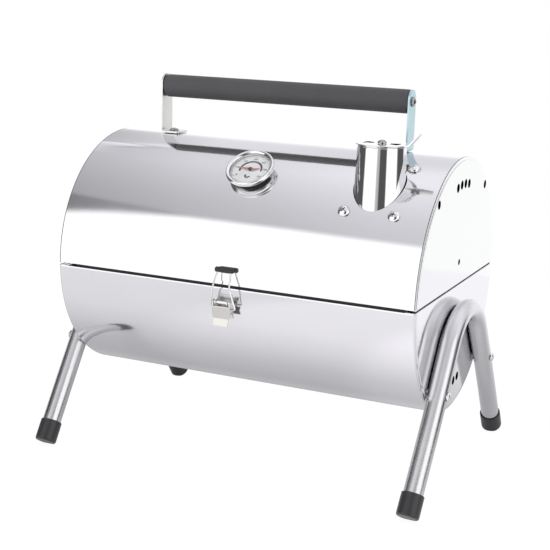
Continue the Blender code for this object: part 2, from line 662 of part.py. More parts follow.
def make_thermometer(lid_shell):
    """Dial gauge on a neck through the lid: case, dial, needle, glass, stem and lock nut."""
    out = drum_direction(GAUGE_TILT)

    def gauge(name, profile, finish, steps=24):
        lowered = [(radius, height - BARREL_RADIUS) for radius, height in profile]
        seat = drum_point(0.0, BARREL_RADIUS, GAUGE_TILT)
        return turned(name, lowered, finish, seat, out, steps)

    seat = drum_point(0.0, BARREL_RADIUS, GAUGE_TILT)
    drill(lid_shell, seat, out, STEM_HOLE_RADIUS, 0.006)
    back, front = GAUGE_BACK, GAUGE_FRONT
    case = [
        (0.0041, back + 0.0010),
        (0.0225, back + 0.0010),
        (0.0225, front - 0.0010),
        (0.0222, front),
        (0.0240, front),
        (GAUGE_RADIUS, front - 0.0016),
        (GAUGE_RADIUS, front - 0.0040),
        (0.0225 + 0.0012, front - 0.0056),
        (0.0222, back + 0.0012),
        (0.0200, back),
        (0.0041, back),
    ]
    gauge("thermometer_case", case, "bright_chrome", 24)
    dial_top = back + 0.0026
    dial_back = dial_top - 0.0010
    dial = [(0.0019, dial_top), (DIAL_RADIUS, dial_top), (DIAL_RADIUS, dial_back), (0.0019, dial_back)]
    gauge("thermometer_dial", dial, "dial_white", 18)
    glass_top = front - 0.0008
    glass_back = glass_top - 0.0012
    glass = [(0.0, glass_top), (GLASS_RADIUS, glass_top), (GLASS_RADIUS, glass_back), (0.0, glass_back)]
    gauge("thermometer_glass", glass, "gauge_glass", 18)
    stem = [
        (0.0, dial_top + 0.0010),
        (0.0015, dial_top + 0.0010),
        (0.0015, back + 0.0006),
        (0.0038, back + 0.0006),
        (0.0038, back - CLEARANCE),
        (0.0065, back - CLEARANCE),
        (0.0065, BARREL_RADIUS + CLEARANCE),
        (STEM_RADIUS, BARREL_RADIUS + CLEARANCE),
        (STEM_RADIUS, BARREL_RADIUS - 0.0080),
        (PROBE_RADIUS, BARREL_RADIUS - 0.0090),
        (PROBE_RADIUS, BARREL_RADIUS - PROBE_DEPTH + 0.0020),
        (0.5 * PROBE_RADIUS, BARREL_RADIUS - PROBE_DEPTH),
        (0.0, BARREL_RADIUS - PROBE_DEPTH),
    ]
    gauge("thermometer_stem", stem, "plated_steel", 12)
    inside = drum_point(0.0, BARREL_RADIUS - SHEET - CLEARANCE, GAUGE_TILT)
    hex_nut("thermometer_nut", inside, -out, 0.0140, STEM_RADIUS + CLEARANCE, 0.0040, "plated_steel")
    upward = Vector((0.0, math.cos(GAUGE_TILT), math.sin(GAUGE_TILT)))
    points_at = upward * math.cos(NEEDLE_TURN) - Vector((1, 0, 0)) * math.sin(NEEDLE_TURN)
    across = out.cross(points_at)
    hub = drum_point(0.0, dial_top + 0.0016, GAUGE_TILT)
    blade = [
        (-0.0060, -0.0012),
        (0.0, -0.0018),
        (0.0170, -0.0003),
        (0.0170, 0.0003),
        (0.0, 0.0018),
        (-0.0060, 0.0012),
    ]
    outline = [hub + points_at * along + across * side for along, side in blade]
    extruded("thermometer_needle", outline, out * 0.0006, "needle_red")


def make_latch(base_shell):
    """Toggle latch: base with two ears, lever and pin, wire bail with its bar, and the lid's catch."""
    radii = (BARREL_RADIUS + CLEARANCE, BARREL_RADIUS + 0.0012)
    span = (math.radians(93.5), math.radians(104.5))
    plate = band("latch_base", (-0.0070, 0.0070), radii, span, "plated_steel", 5)
    for label, x in (("left", -0.0070), ("right", 0.0060)):
        ear = [
            (-BARREL_RADIUS + 0.0022, SEAM_HEIGHT - 0.0260),
            (-BARREL_RADIUS + 0.0002, LATCH_PIVOT.z + 0.0012),
            (LATCH_PIVOT.y + 0.0010, LATCH_PIVOT.z + 0.0028),
            (LATCH_PIVOT.y - 0.0024, LATCH_PIVOT.z + 0.0014),
            (LATCH_PIVOT.y - 0.0026, LATCH_PIVOT.z - 0.0014),
            (LATCH_PIVOT.y + 0.0006, LATCH_PIVOT.z - 0.0030),
        ]
        outline = [Vector((x, y, z)) for y, z in ear]
        weld(plate, extruded(f"latch_ear_{label}", outline, Vector((0.0010, 0, 0)), "plated_steel"))
    hole = PIN_RADIUS + CLEARANCE
    drill(plate, LATCH_PIVOT, (1, 0, 0), hole, 0.012)

    wide, knee, lip = LEVER_HALF_WIDTH, 0.0086, 0.0078
    stations = [
        (-0.1432, -0.0190, wide),
        (-0.1426, -0.0265, wide),
        (-0.1422, -0.0312, knee),
        (-0.1437, -0.0385, lip),
    ]
    loops = []
    for y, rise, half_width in stations:
        z = SEAM_HEIGHT + rise
        inner = y + LEVER_SHEET
        corners = ((-half_width, y), (half_width, y), (half_width, inner), (-half_width, inner))
        loops.append([Vector((x, side, z)) for x, side in corners])
    lever = lofted("latch_lever", loops, "plated_steel")
    cheek = [
        (-0.1430, SEAM_HEIGHT - 0.0193),
        (LATCH_PIVOT.y - 0.0026, LATCH_PIVOT.z + 0.0010),
        (LATCH_PIVOT.y - 0.0006, LATCH_PIVOT.z + 0.0027),
        (LATCH_PIVOT.y + 0.0022, LATCH_PIVOT.z + 0.0012),
        (BAIL_PIVOT.y + 0.0024, BAIL_PIVOT.z + 0.0010),
        (BAIL_PIVOT.y + 0.0020, BAIL_PIVOT.z - 0.0020),
        (-0.1424, SEAM_HEIGHT - 0.0264),
    ]
    for label, x in (("left", -wide), ("right", wide - LEVER_SHEET)):
        outline = [Vector((x, y, z)) for y, z in cheek]
        weld(lever, extruded(f"lever_cheek_{label}", outline, Vector((LEVER_SHEET, 0, 0)), "plated_steel"))
    drill(lever, LATCH_PIVOT, (1, 0, 0), hole, 0.012)
    drill(lever, BAIL_PIVOT, (1, 0, 0), BAIL_WIRE_RADIUS + CLEARANCE, 0.012)
    pin = [(0.0, 0.0111), (0.0023, 0.0111), (0.0023, 0.0103), (PIN_RADIUS, 0.0103)]
    pin += [(radius, -height) for radius, height in reversed(pin)]
    turned("latch_pin", pin, "plated_steel", LATCH_PIVOT, (1, 0, 0), 10)

    half = [(0.0078, BAIL_PIVOT), (0.0140, BAIL_PIVOT), (0.0094, BAIL_BULGE), (0.0068, BAIL_BAR)]
    corners = [Vector((-x, point.y, point.z)) for x, point in half]
    corners += [Vector((x, point.y, point.z)) for x, point in reversed(half)]
    path = rounded(corners, 0.0021, 3)
    swept("latch_bail", path, BAIL_WIRE_RADIUS, "bright_chrome", 6)
    sleeve = [
        (0.0, SLEEVE_HALF_LENGTH),
        (SLEEVE_RADIUS - 0.0006, SLEEVE_HALF_LENGTH),
        (SLEEVE_RADIUS, SLEEVE_HALF_LENGTH - 0.0006),
    ]
    sleeve += [(radius, -along) for radius, along in reversed(sleeve)]
    bar = turned("latch_sleeve", sleeve, "black_plastic", BAIL_BAR, (1, 0, 0), 12)
    channel = swept("bail_channel", path, BAIL_WIRE_RADIUS + CLEARANCE, "black_plastic", 6)
    combine(bar, channel, "DIFFERENCE")

    angles = (math.radians(84.2), math.radians(87.6))
    radii = (BARREL_RADIUS + CLEARANCE, BARREL_RADIUS + 0.0009)
    catch = band("latch_catch", (-0.0052, 0.0052), radii, angles, "plated_steel", 3)
    tip = BAIL_BAR.y + SLEEVE_RADIUS + CATCH_GAP + 0.0001
    ledge = [
        (-BARREL_RADIUS + 0.0002, BAIL_BAR.z - 0.0046),
        (tip, BAIL_BAR.z - 0.0044),
        (tip, BAIL_BAR.z - 0.0038),
        (-BARREL_RADIUS + 0.0002, BAIL_BAR.z - 0.0038),
    ]
    outline = [Vector((-0.0050, y, z)) for y, z in ledge]
    weld(catch, extruded("catch_ledge", outline, Vector((0.0100, 0, 0)), "plated_steel"))


def make_hinge(label, x):
    """A rear hinge: the lid's leaf has the middle knuckle and the base's leaf has the outer two."""
    radii = (BARREL_RADIUS + CLEARANCE, BARREL_RADIUS + 0.0013)
    pivot = (x, HINGE_Y, SEAM_HEIGHT)
    owners = (("lid", 1, ((-0.0046, 0.0046),)), ("base", -1, ((-0.0145, -0.0050), (0.0050, 0.0145))))
    for owner, side, knuckles in owners:
        angles = sorted((math.radians(-90 + side * 0.8), math.radians(-90 + side * 8.5)))
        name = f"hinge_{owner}_leaf_{label}"
        leaf = band(name, (x - 0.0145, x + 0.0145), radii, angles, "plated_steel", 3)
        for number, (start, end) in enumerate(knuckles):
            roll = [(0.0, end), (KNUCKLE_RADIUS, end), (KNUCKLE_RADIUS, start), (0.0, start)]
            weld(leaf, turned(f"{name}_roll_{number}", roll, "plated_steel", pivot, (1, 0, 0), 14))
            low_z, high_z = sorted((SEAM_HEIGHT + side * 0.0020, SEAM_HEIGHT + side * 0.0030))
            low = (x + start, BARREL_RADIUS + 0.0006, low_z)
            web = box(f"{name}_web_{number}", low, (x + end, HINGE_Y, high_z), "plated_steel")
            weld(leaf, web)
        drill(leaf, pivot, (1, 0, 0), HINGE_PIN_RADIUS + CLEARANCE, 0.016, 12)
    pin = [(0.0, 0.0155), (0.0022, 0.0155), (0.0022, 0.0148), (HINGE_PIN_RADIUS, 0.0148)]
    pin += [(radius, -height) for radius, height in reversed(pin)]
    turned(f"hinge_pin_{label}", pin, "plated_steel", pivot, (1, 0, 0), 10)


def make_slotted_plate(name, size, height, thickness, bars, cross_bars, gap_share):
    """A flat grid: a frame with long bars along X, and a few bars across."""
    half_x, half_y = size
    form = bmesh.new()
    edges_y = []
    pitch = 2 * half_y / (bars + gap_share)
    for bar in range(bars + 1):
        start = -half_y + bar * pitch
        edges_y += [start, start + pitch * gap_share]
    edges_x = []
    span = (2 * half_x - 0.004) / cross_bars
    for bar in range(cross_bars + 1):
        start = -half_x + bar * span
        edges_x += [start, start + 0.004]
    rows = [[form.verts.new((x, y, height)) for y in edges_y] for x in edges_x]
    for i in range(len(edges_x) - 1):
        for j in range(len(edges_y) - 1):
            if i % 2 == 0 or j % 2 == 0:
                form.faces.new((rows[i][j], rows[i + 1][j], rows[i + 1][j + 1], rows[i][j + 1]))
    grid = add_object(name, form, "enamelled_iron")
    solid = grid.modifiers.new("thickness", "SOLIDIFY")
    solid.thickness = thickness
    solid.offset = -1.0
    return grid


def hang(name, location, starts, parent=None):
    """An empty on a joint's axis, carrying each piece whose name starts with one of the given words."""
    pivot = bpy.data.objects.new(name, None)
    pivot.location = location
    bpy.context.scene.collection.objects.link(pivot)
    bpy.context.view_layer.update()
    for item in bpy.context.scene.objects:
        if item.type == "MESH" and not item.hide_render and item.name.startswith(starts):
            item.parent = pivot
            item.matrix_parent_inverse = pivot.matrix_world.inverted()
    if parent:
        pivot.parent = parent
        pivot.matrix_parent_inverse = parent.matrix_world.inverted()
    return pivot


def hang_moving_pieces():
    """Parents every moving piece to its joint's axis. The damper's axis moves with the lid."""
    lid_pieces = (
        "lid_",
        "handle_",
        "grip_",
        "chimney_",
        "damper_screw",
        "thermometer_",
        "latch_catch",
        "hinge_lid_",
    )
    lid_axis = hang("lid_axis", (0.0, HINGE_Y, SEAM_HEIGHT), lid_pieces)
    damper_top = CHIMNEY_TOP + SHEET + 2 * CLEARANCE
    hang("damper_axis", (CHIMNEY_X, CHIMNEY_Y, damper_top), ("damper_disc",), lid_axis)
    lever_axis = hang("lever_axis", LATCH_PIVOT, ("latch_lever",))
    hang("bail_axis", BAIL_PIVOT, ("latch_bail", "latch_sleeve"), lever_axis)
    hang("grid_axis", (0.0, 0.0, SEAM_HEIGHT - GRID_DROP), ("cooking_grid",))


def main():
    clear_scene()
    lid_shell = make_half_drum("lid", 1)
    base_shell = make_half_drum("base", -1)
    make_seam_lips(base_shell)
    for label, end in (("left", -1), ("right", 1)):
        make_end_plate("lid", label, end, 1)
        make_grid_ledges(make_end_plate("base", label, end, -1), end)
        make_leg(label, end)
        for row, sign in (("front", -1), ("rear", 1)):
            make_foot_cap(f"foot_cap_{row}_{label}", end, sign)
            make_leg_fasteners(f"{row}_{label}", end, sign)
        make_hinge(label, end * HINGE_X)
    for end in (-1, 1):
        place = (HANDLE_MIDDLE + end * FOOT_SCREW_X, 0, SEAM_HEIGHT + BARREL_RADIUS)
        drill(lid_shell, place, (0, 0, 1), HANDLE_HOLE_RADIUS, 0.004)
    make_handle()
    make_chimney(lid_shell)
    make_thermometer(lid_shell)
    make_latch(base_shell)
    size = (GRID_HALF_LENGTH, GRID_HALF_WIDTH)
    make_slotted_plate("cooking_grid", size, SEAM_HEIGHT - GRID_DROP, GRID_THICKNESS, 12, 3, 0.24)
    size = (GRATE_HALF_LENGTH, GRATE_HALF_WIDTH)
    make_slotted_plate("charcoal_grate", size, SEAM_HEIGHT - GRATE_DROP, GRATE_THICKNESS, 8, 4, 0.55)
    hang_moving_pieces()


main()
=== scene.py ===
"""The looks of a tabletop barrel charcoal grill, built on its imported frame.

Metres, +Z up, +X along the barrel to the right, -Y to the front where the latch is.
"""
from math import asin, copysign, cos, pi, radians, sin, tau

import bmesh
import bpy
from mathutils import Euler, Matrix, Vector


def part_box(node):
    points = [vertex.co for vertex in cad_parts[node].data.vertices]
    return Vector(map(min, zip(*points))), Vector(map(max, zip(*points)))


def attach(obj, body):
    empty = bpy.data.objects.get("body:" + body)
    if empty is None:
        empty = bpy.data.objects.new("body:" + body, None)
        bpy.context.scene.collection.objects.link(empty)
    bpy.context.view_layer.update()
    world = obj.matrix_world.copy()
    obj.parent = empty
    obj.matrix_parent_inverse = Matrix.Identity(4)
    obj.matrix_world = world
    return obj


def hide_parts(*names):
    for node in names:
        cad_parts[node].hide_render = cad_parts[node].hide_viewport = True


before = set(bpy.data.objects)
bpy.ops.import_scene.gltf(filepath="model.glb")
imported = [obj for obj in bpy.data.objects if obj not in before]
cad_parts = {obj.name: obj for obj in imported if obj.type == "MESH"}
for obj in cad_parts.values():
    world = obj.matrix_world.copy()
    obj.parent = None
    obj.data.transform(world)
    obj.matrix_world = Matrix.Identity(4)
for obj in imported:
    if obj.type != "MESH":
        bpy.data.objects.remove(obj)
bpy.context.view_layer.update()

scene = bpy.context.scene

# The drum and its end plates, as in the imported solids. SEAM is the height of the drum's axis.
RADIUS = 0.1325
SEAM = 0.202
SHEET = 0.0008
GAP = 0.0003
SHELL_GAP = 0.0016
PLATE_GAP = 0.0009
EDGE = 0.1981
SEAT = 0.1988
RIM_FACE = 0.1994
FACE = 0.2002
CROWN = SEAM + RADIUS + GAP
HINGE_X = 0.12
HINGE_Y = RADIUS + 0.0045
HINGE_HALF = 0.0145

# Legs.
LEG_X = 0.2105
LEG_TUBE = 0.01
LEG_BEND = 0.0594
BEND_Z = SEAM - 0.0844
SPLAY = radians(34.6)
LEAN_IN = 0.0022
LEAN_TOP = 0.125
BOLT_Y = 0.0796
BOLT_DROP = 0.0948

# Chimney and handle on the lid.
CHIMNEY = Vector((0.1375, -0.075, 0.0))
CHIMNEY_TOP = SEAM + 0.1465
CONE_TOP = 0.024
CONE_FOOT = 0.0259
CONE_END = SEAM + 0.086
GRIP_Z = SEAM + 0.184
HANDLE_MIDDLE = -0.0025
STRAP_X = 0.1427
STRAP_THICK = 0.0018
STRAP_CORNER = 0.003
STRAP_FOOT_START = 0.122
FOOT_SCREW_X = 0.1335

# Thermometer: distances from the drum's axis, along its own.
TILT = radians(36.5)
GAUGE_BACK = RADIUS + 0.003
GAUGE_FRONT = RADIUS + 0.0115

# Latch.
LATCH_PIVOT = Vector((0.0, -0.14, SEAM - 0.015))
BAIL_PIVOT = Vector((0.0, -0.1385, SEAM - 0.0215))
BAIL_BAR = Vector((0.0, -0.1362, SEAM + 0.0175))
BAIL_BULGE = Vector((0.0, -0.144, SEAM + 0.0005))

# Fasteners: head radius, head height, shank radius and length.
LEG_BOLT = (0.0048, 0.0026, 0.003, 0.03)
GRIP_SCREW = (0.0052, 0.003, 0.0024, 0.02)
FOOT_SCREW = (0.0052, 0.0026, 0.0024, 0.01)
DAMPER_SCREW = (0.0046, 0.003, 0.0018, 0.0075)
CHIMNEY_SCREW = (0.006, 0.004, 0.002, 0.0075)

ENDS = (("left", -1), ("right", 1))
ROWS = (("front", -1), ("rear", 1))


# ---- materials


class Graph:
    """Short calls for building a node tree."""

    def __init__(self, tree):
        self.tree = tree

    def add(self, kind, **settings):
        node = self.tree.nodes.new(kind)
        for key, value in settings.items():
            setattr(node, key, value)
        return node

    def link(self, source, target):
        self.tree.links.new(source, target)

    def feed(self, node, **values):
        """Links or sets each named input of a node."""
        for name, value in values.items():
            self.put(node.inputs[name], value)

    def put(self, socket, value):
        if isinstance(value, bpy.types.NodeSocket):
            self.link(value, socket)
        elif value is not None:
            socket.default_value = value

    def math(self, operation, *values):
        node = self.add("ShaderNodeMath", operation=operation)
        for socket, value in zip(node.inputs, values):
            self.put(socket, value)
        return node.outputs[0]

    def times(self, product, *factors):
        for factor in factors:
            product = self.math("MULTIPLY", product, factor)
        return product

    def spread(self, value, low, high, to_low, to_high, kind="LINEAR"):
        """The value with low to high mapped onto to_low to to_high."""
        node = self.add("ShaderNodeMapRange", interpolation_type=kind)
        for socket, item in zip(node.inputs, (value, low, high, to_low, to_high)):
            self.put(socket, item)
        return node.outputs[0]

    def smooth(self, value, low, high, to_low=0.0, to_high=1.0):
        return self.spread(value, low, high, to_low, to_high, "SMOOTHSTEP")

    def ramp(self, value, stops):
        """Stops are (position 0 to 1, grey)."""
        node = self.add("ShaderNodeValToRGB")
        elements = node.color_ramp.elements
        while len(elements) < len(stops):
            elements.new(0.5)
        for element, (position, tone) in zip(elements, stops):
            element.position = position
        for element, (position, tone) in zip(elements, stops):
            element.color = (tone, tone, tone, 1.0)
        self.link(value, node.inputs[0])
        return node.outputs[0]

    def mix(self, factor, a, b, how="MIX"):
        """Between two colours."""
        node = self.add("ShaderNodeMix", data_type="RGBA", blend_type=how)
        self.feed(node, Factor=factor)
        for socket, value in zip((node.inputs[6], node.inputs[7]), (a, b)):
            self.put(socket, (*value, 1.0) if isinstance(value, tuple) else value)
        return node.outputs[2]

    def between(self, factor, a, b):
        """Between two numbers."""
        node = self.add("ShaderNodeMix", data_type="FLOAT")
        self.feed(node, Factor=factor, A=a, B=b)
        return node.outputs[0]

    def noise(self, vector, scale, detail, roughness):
        node = self.add("ShaderNodeTexNoise")
        self.feed(node, Vector=vector, Scale=scale, Detail=detail, Roughness=roughness)
        return node.outputs["Fac"]

    def bump(self, height, strength, distance, after=None):
        node = self.add("ShaderNodeBump")
        self.feed(node, Strength=strength, Distance=distance, Height=height, Normal=after)
        return node.outputs["Normal"]

    def place(self, kind="Object"):
        return self.add("ShaderNodeTexCoord").outputs[kind]

    def eye(self):
        return self.add("ShaderNodeLightPath").outputs["Is Camera Ray"]


def new_look(name):
    made = bpy.data.materials.new(name)
    made.use_nodes = True
    graph = Graph(made.node_tree)
    return made, graph, made.node_tree.nodes["Principled BSDF"], graph.place()


def metal(name, dark, light, roughness, waves, grain, speck=220.0, metallic=1.0):
    """Bare metal: two close tones, uneven polish, a slow waviness and a fine grain."""
    made, graph, shader, place = new_look(name)
    cloudy = graph.noise(place, 14.0, 4.0, 0.55)
    fine = graph.noise(place, speck, 3.0, 0.6)
    graph.link(graph.mix(cloudy, dark, light), shader.inputs["Base Color"])
    smudge = graph.math("ADD", graph.times(cloudy, 0.7), graph.times(fine, 0.3))
    uneven = graph.spread(smudge, 0.3, 0.7, roughness * 0.65, roughness * 1.35)
    graph.link(uneven, shader.inputs["Roughness"])
    slow = graph.bump(graph.noise(place, 9.0, 1.0, 0.4), waves, 0.004)
    graph.link(graph.bump(fine, grain, 0.0002, slow), shader.inputs["Normal"])
    shader.inputs["Metallic"].default_value = metallic
    return made


def matte(name, dark, light, roughness, grain, scale, specular=0.5, waves=0.0):
    """Moulded plastic, rubber, paint or enamel: mottled tone, uneven sheen and a fine grain."""
    made, graph, shader, place = new_look(name)
    cloudy = graph.noise(place, 30.0, 4.0, 0.6)
    fine = graph.noise(place, scale, 2.0, 0.6)
    graph.link(graph.mix(cloudy, dark, light), shader.inputs["Base Color"])
    uneven = graph.spread(fine, 0.3, 0.7, roughness * 0.85, roughness * 1.15)
    graph.link(uneven, shader.inputs["Roughness"])
    slow = graph.bump(cloudy, waves, 0.001)
    graph.link(graph.bump(fine, grain, 0.0003, slow), shader.inputs["Normal"])
    shader.inputs["Specular IOR Level"].default_value = specular
    return made


def glass(name):
    made, graph, shader, place = new_look(name)
    smear = graph.noise(place, 60.0, 3.0, 0.5)
    graph.link(graph.spread(smear, 0.3, 0.8, 0.01, 0.05), shader.inputs["Roughness"])
    graph.link(graph.mix(smear, (0.96, 0.98, 0.98), (1.0, 1.0, 1.0)), shader.inputs["Base Color"])
    shader.inputs["Transmission Weight"].default_value = 1.0
    shader.inputs["IOR"].default_value = 1.25
    return made


# After its tones a metal has its roughness, waves and grain, a matte look its roughness, grain and its scale.
LOOKS = {
    # The drum's steel is the plates' steel made darker and less metallic: painted shade that dims its
    # reflections.
    "drum": metal("drum_steel_painted_shade", (0.735, 0.735, 0.75), (0.765, 0.765, 0.78), 0.085, 0.1, 0.02, 220.0, 0.945),
    "plate": metal("plate_steel", (0.8, 0.805, 0.81), (0.83, 0.835, 0.84), 0.07, 0.1, 0.02),
    "tube": metal("leg_steel", (0.62, 0.62, 0.63), (0.75, 0.75, 0.76), 0.24, 0.08, 0.3, 800.0),
    "zinc": metal("zinc_plate", (0.6, 0.6, 0.59), (0.72, 0.72, 0.71), 0.26, 0.1, 0.25, 700.0),
    "catch": metal("catch_steel", (0.8, 0.805, 0.81), (0.83, 0.835, 0.84), 0.09, 0.1, 0.02),
    "screw": metal("screw_chrome", (0.36, 0.365, 0.37), (0.46, 0.465, 0.47), 0.09, 0.05, 0.05),
    "bar": matte("bar_plastic", (0.03, 0.03, 0.033), (0.042, 0.042, 0.045), 0.55, 0.3, 1500.0, 0.3),
    "lever": metal("lever_zinc", (0.61, 0.6, 0.56), (0.66, 0.645, 0.605), 0.24, 0.1, 0.25, 700.0),
    "strap": metal("strap_steel", (0.73, 0.73, 0.71), (0.79, 0.79, 0.77), 0.34, 0.05, 0.2, 700.0),
    "chrome": metal("bright_chrome_plate", (0.8, 0.8, 0.8), (0.86, 0.86, 0.86), 0.045, 0.05, 0.02),
    "film": metal("film_on_steel", (0.42, 0.58, 0.64), (0.5, 0.66, 0.71), 0.3, 0.25, 0.25, 300.0),
    "plastic": matte("grip_plastic", (0.06, 0.058, 0.062), (0.077, 0.075, 0.079), 0.62, 0.35, 1500.0),
    "rubber": matte("cap_rubber", (0.022, 0.022, 0.025), (0.034, 0.034, 0.038), 0.34, 0.25, 900.0),
    "dial": matte("dial_paint", (0.93, 0.93, 0.925), (0.97, 0.97, 0.965), 0.5, 0.05, 500.0),
    "ink": matte("dial_ink", (0.05, 0.05, 0.055), (0.09, 0.09, 0.095), 0.5, 0.05, 500.0),
    "red": matte("needle_paint", (0.62, 0.2, 0.2), (0.74, 0.31, 0.31), 0.4, 0.05, 500.0),
    "glass": glass("clear_glass"),
    "enamel": matte("black_enamel", (0.03, 0.03, 0.032), (0.05, 0.05, 0.052), 0.34, 0.45, 260.0, 0.6, 0.2),
    # A dark sheet behind the latch lever's face: painted shade under the lever.
    "shade": matte("lever_back_painted_shade", (0.16, 0.145, 0.135), (0.22, 0.2, 0.19), 0.6, 0.3, 400.0, 0.3),
    # Dark sheets in the seam's gaps and at the lid plates' edges: painted shade.
    "painted_shade": matte("painted_shade_dark", (0.035, 0.035, 0.037), (0.06, 0.06, 0.062), 0.75, 0.3, 400.0, 0.2),
}


# ---- mesh helpers


MERGE = 5e-7


def steps_between(start, end, steps):
    return [start + (end - start) * step / steps for step in range(steps + 1)]


def to_mesh(form, name="form"):
    """A cleaned mesh from a form. A mesh stays as it is."""
    if isinstance(form, bpy.types.Mesh):
        return form
    bmesh.ops.remove_doubles(form, verts=form.verts, dist=MERGE)
    bmesh.ops.recalc_face_normals(form, faces=form.faces)
    mesh = bpy.data.meshes.new(name)
    form.to_mesh(mesh)
    form.free()
    return mesh


def shown(name, content):
    made = bpy.data.objects.new(name, content)
    scene.collection.objects.link(made)
    return made


def evaluated(item):
    bpy.context.view_layer.update()
    depsgraph = bpy.context.evaluated_depsgraph_get()
    return bpy.data.meshes.new_from_object(item.evaluated_get(depsgraph))


def carved(shape, cutters, operation="DIFFERENCE"):
    """The mesh of a shape after a Boolean with each cutter."""
    item = shown("carving", to_mesh(shape))
    helpers = [shown("cutter", to_mesh(cutter)) for cutter in cutters]
    for helper in helpers:
        step = item.modifiers.new("cut", "BOOLEAN")
        step.operation = operation
        step.solver = "EXACT"
        step.object = helper
    result = evaluated(item)
    for helper in (*helpers, item):
        bpy.data.objects.remove(helper)
    return result


def piece(name, shape, look, body, *stands_for, sharp=35.0, place=None, bevel=0.0, even=True, rule=None):
    """A finished piece: its shading with sharp edges, material and body, and the node it stands for."""
    mesh = to_mesh(shape, name)
    mesh.name = name
    mesh.shade_smooth()
    mesh.set_sharp_from_angle(angle=radians(sharp))
    if rule:
        set_normals(mesh, rule)
    mesh.materials.clear()
    mesh.materials.append(LOOKS[look])
    made = shown(name, mesh)
    if place is not None:
        made.matrix_world = place
    if bevel:
        edge = made.modifiers.new("edge", "BEVEL")
        edge.width = bevel
        edge.segments = 2
        edge.limit_method = "ANGLE"
        edge.angle_limit = radians(40)
    if even:
        made.modifiers.new("even", "WEIGHTED_NORMAL").keep_sharp = True
    bpy.context.view_layer.update()
    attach(made, body)
    if stands_for:
        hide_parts(*stands_for)


def set_normals(mesh, rule):
    """Shading normals from a rule of (vertex position, face normal). None keeps the face's own."""
    normals = []
    for face in mesh.polygons:
        for index in face.vertices:
            normals.append(rule(mesh.vertices[index].co, face.normal) or face.normal)
    mesh.normals_split_custom_set([tuple(normal) for normal in normals])


def facing(out, normal, least):
    """The outward direction turned to a face's side, or None where the face isn't part of the round skin."""
    lean = out.dot(normal)
    if abs(lean) < least:
        return None
    return out if lean > 0 else -out


def moved(form, matrix):
    mesh = to_mesh(form)
    mesh.transform(matrix)
    return mesh


def aimed(location, direction):
    turn = Vector(direction).to_track_quat("Z", "Y").to_matrix().to_4x4()
    return Matrix.Translation(Vector(location)) @ turn


def spun(profile, steps=48):
    """Turned about Z from (radius, height) points, closed through the axis or back to its start."""
    form = bmesh.new()
    points = [form.verts.new((radius, 0.0, height)) for radius, height in profile]
    edges = [form.edges.new(pair) for pair in zip(points, points[1:])]
    if profile[0][0] > 0.0:
        edges.append(form.edges.new((points[-1], points[0])))
    turn = {"cent": (0, 0, 0), "axis": (0, 0, 1), "angle": tau, "steps": steps}
    bmesh.ops.spin(form, geom=points + edges, use_merge=True, **turn)
    return form


def both_ends(half, longer=0.0):
    """The profile of a rod from its upper half."""
    return half + [(radius, -along - longer) for radius, along in reversed(half)]


def prism(outline, depth):
    """An outline of points in space, extruded along a vector."""
    form = bmesh.new()
    face = form.faces.new([form.verts.new(point) for point in outline])
    grown = bmesh.ops.extrude_face_region(form, geom=[face])
    moved = [part for part in grown["geom"] if isinstance(part, bmesh.types.BMVert)]
    bmesh.ops.translate(form, verts=moved, vec=depth)
    return form


def along_x(start, end, section):
    """A section of (y, z) points, extruded along X."""
    return prism([Vector((start, y, z)) for y, z in section], Vector((end - start, 0, 0)))


def block(low, high):
    corners = ((low[0], low[1]), (high[0], low[1]), (high[0], high[1]), (low[0], high[1]))
    return prism([Vector((x, y, low[2])) for x, y in corners], Vector((0, 0, high[2] - low[2])))


def bore(location, direction, radius, depth, steps=32):
    """A cutter for a round hole centred on a location."""
    rod = spun(both_ends([(0, depth), (radius, depth)]), steps)
    return moved(rod, aimed(location, direction))


def wall(form, loop, following):
    """Faces between two closed loops of vertices."""
    for index, vertex in enumerate(loop):
        after = (index + 1) % len(loop)
        form.faces.new((vertex, loop[after], following[after], following[index]))


def lofted(loops, form=None):
    """A closed skin through loops with the same number of points."""
    form = form or bmesh.new()
    rings = [[form.verts.new(point) for point in loop] for loop in loops]
    for loop, following in zip(rings, rings[1:]):
        wall(form, loop, following)
    form.faces.new(rings[0])
    form.faces.new(rings[-1])
    return form


def circle(centre, radius, side, across, sides):
    turn = [tau * step / sides for step in range(sides)]
    return [centre + radius * (side * cos(a) + across * sin(a)) for a in turn]


def tube(path, radius, sides=20, form=None):
    """A round bar along a path."""
    loops = []
    side = Vector((0.0, 1.0, 0.0))
    for index, point in enumerate(path):
        along = (path[min(index + 1, len(path) - 1)] - path[max(index - 1, 0)]).normalized()
        if abs(side.dot(along)) > 0.99:
            side = Vector((1.0, 0.0, 0.0))
        side = (side - along * side.dot(along)).normalized()
        loops.append(circle(point, radius, side, along.cross(side), sides))
    return lofted(loops, form)


def eased(corners, radius, steps=8):
    """A path through corners, each inner one rounded off."""
    path = [corners[0]]
    for before, corner, after in zip(corners, corners[1:], corners[2:]):
        start = corner + (before - corner).normalized() * radius
        end = corner + (after - corner).normalized() * radius
        for t in steps_between(0, 1, steps):
            path.append(start * (1 - t) ** 2 + corner * 2 * t * (1 - t) + end * t**2)
    return path + [corners[-1]]


def drum_out(angle):
    """Straight out of the drum, the angle from straight up towards the front."""
    return Vector((0.0, -sin(angle), cos(angle)))


def drum_point(x, radius, angle):
    return Vector((x, 0.0, SEAM)) + radius * drum_out(angle)


def wrapped(start, end, radii, degrees, steps):
    """A strip of sheet between two X, wrapped round the drum between two angles."""
    sweep = steps_between(*(radians(value) for value in degrees), steps)
    outline = [drum_point(start, radii[1], angle) for angle in sweep]
    outline += [drum_point(start, radii[0], angle) for angle in reversed(sweep)]
    return prism(outline, Vector((end - start, 0, 0)))


# ---- drum


# Distances from the seam where the base's upper edge bends, and how far its normals lean up there.
ROLL = (0.0007, 0.0013)
ROLL_LEAN = 0.22
CHIMNEY_HOLE = 0.0261
GAUGE_HOLE = 0.0057
HANDLE_HOLE = 0.0028
VENT_CIRCLE = 0.105
VENT_RADIUS = 0.0047
RING_END = 0.0028


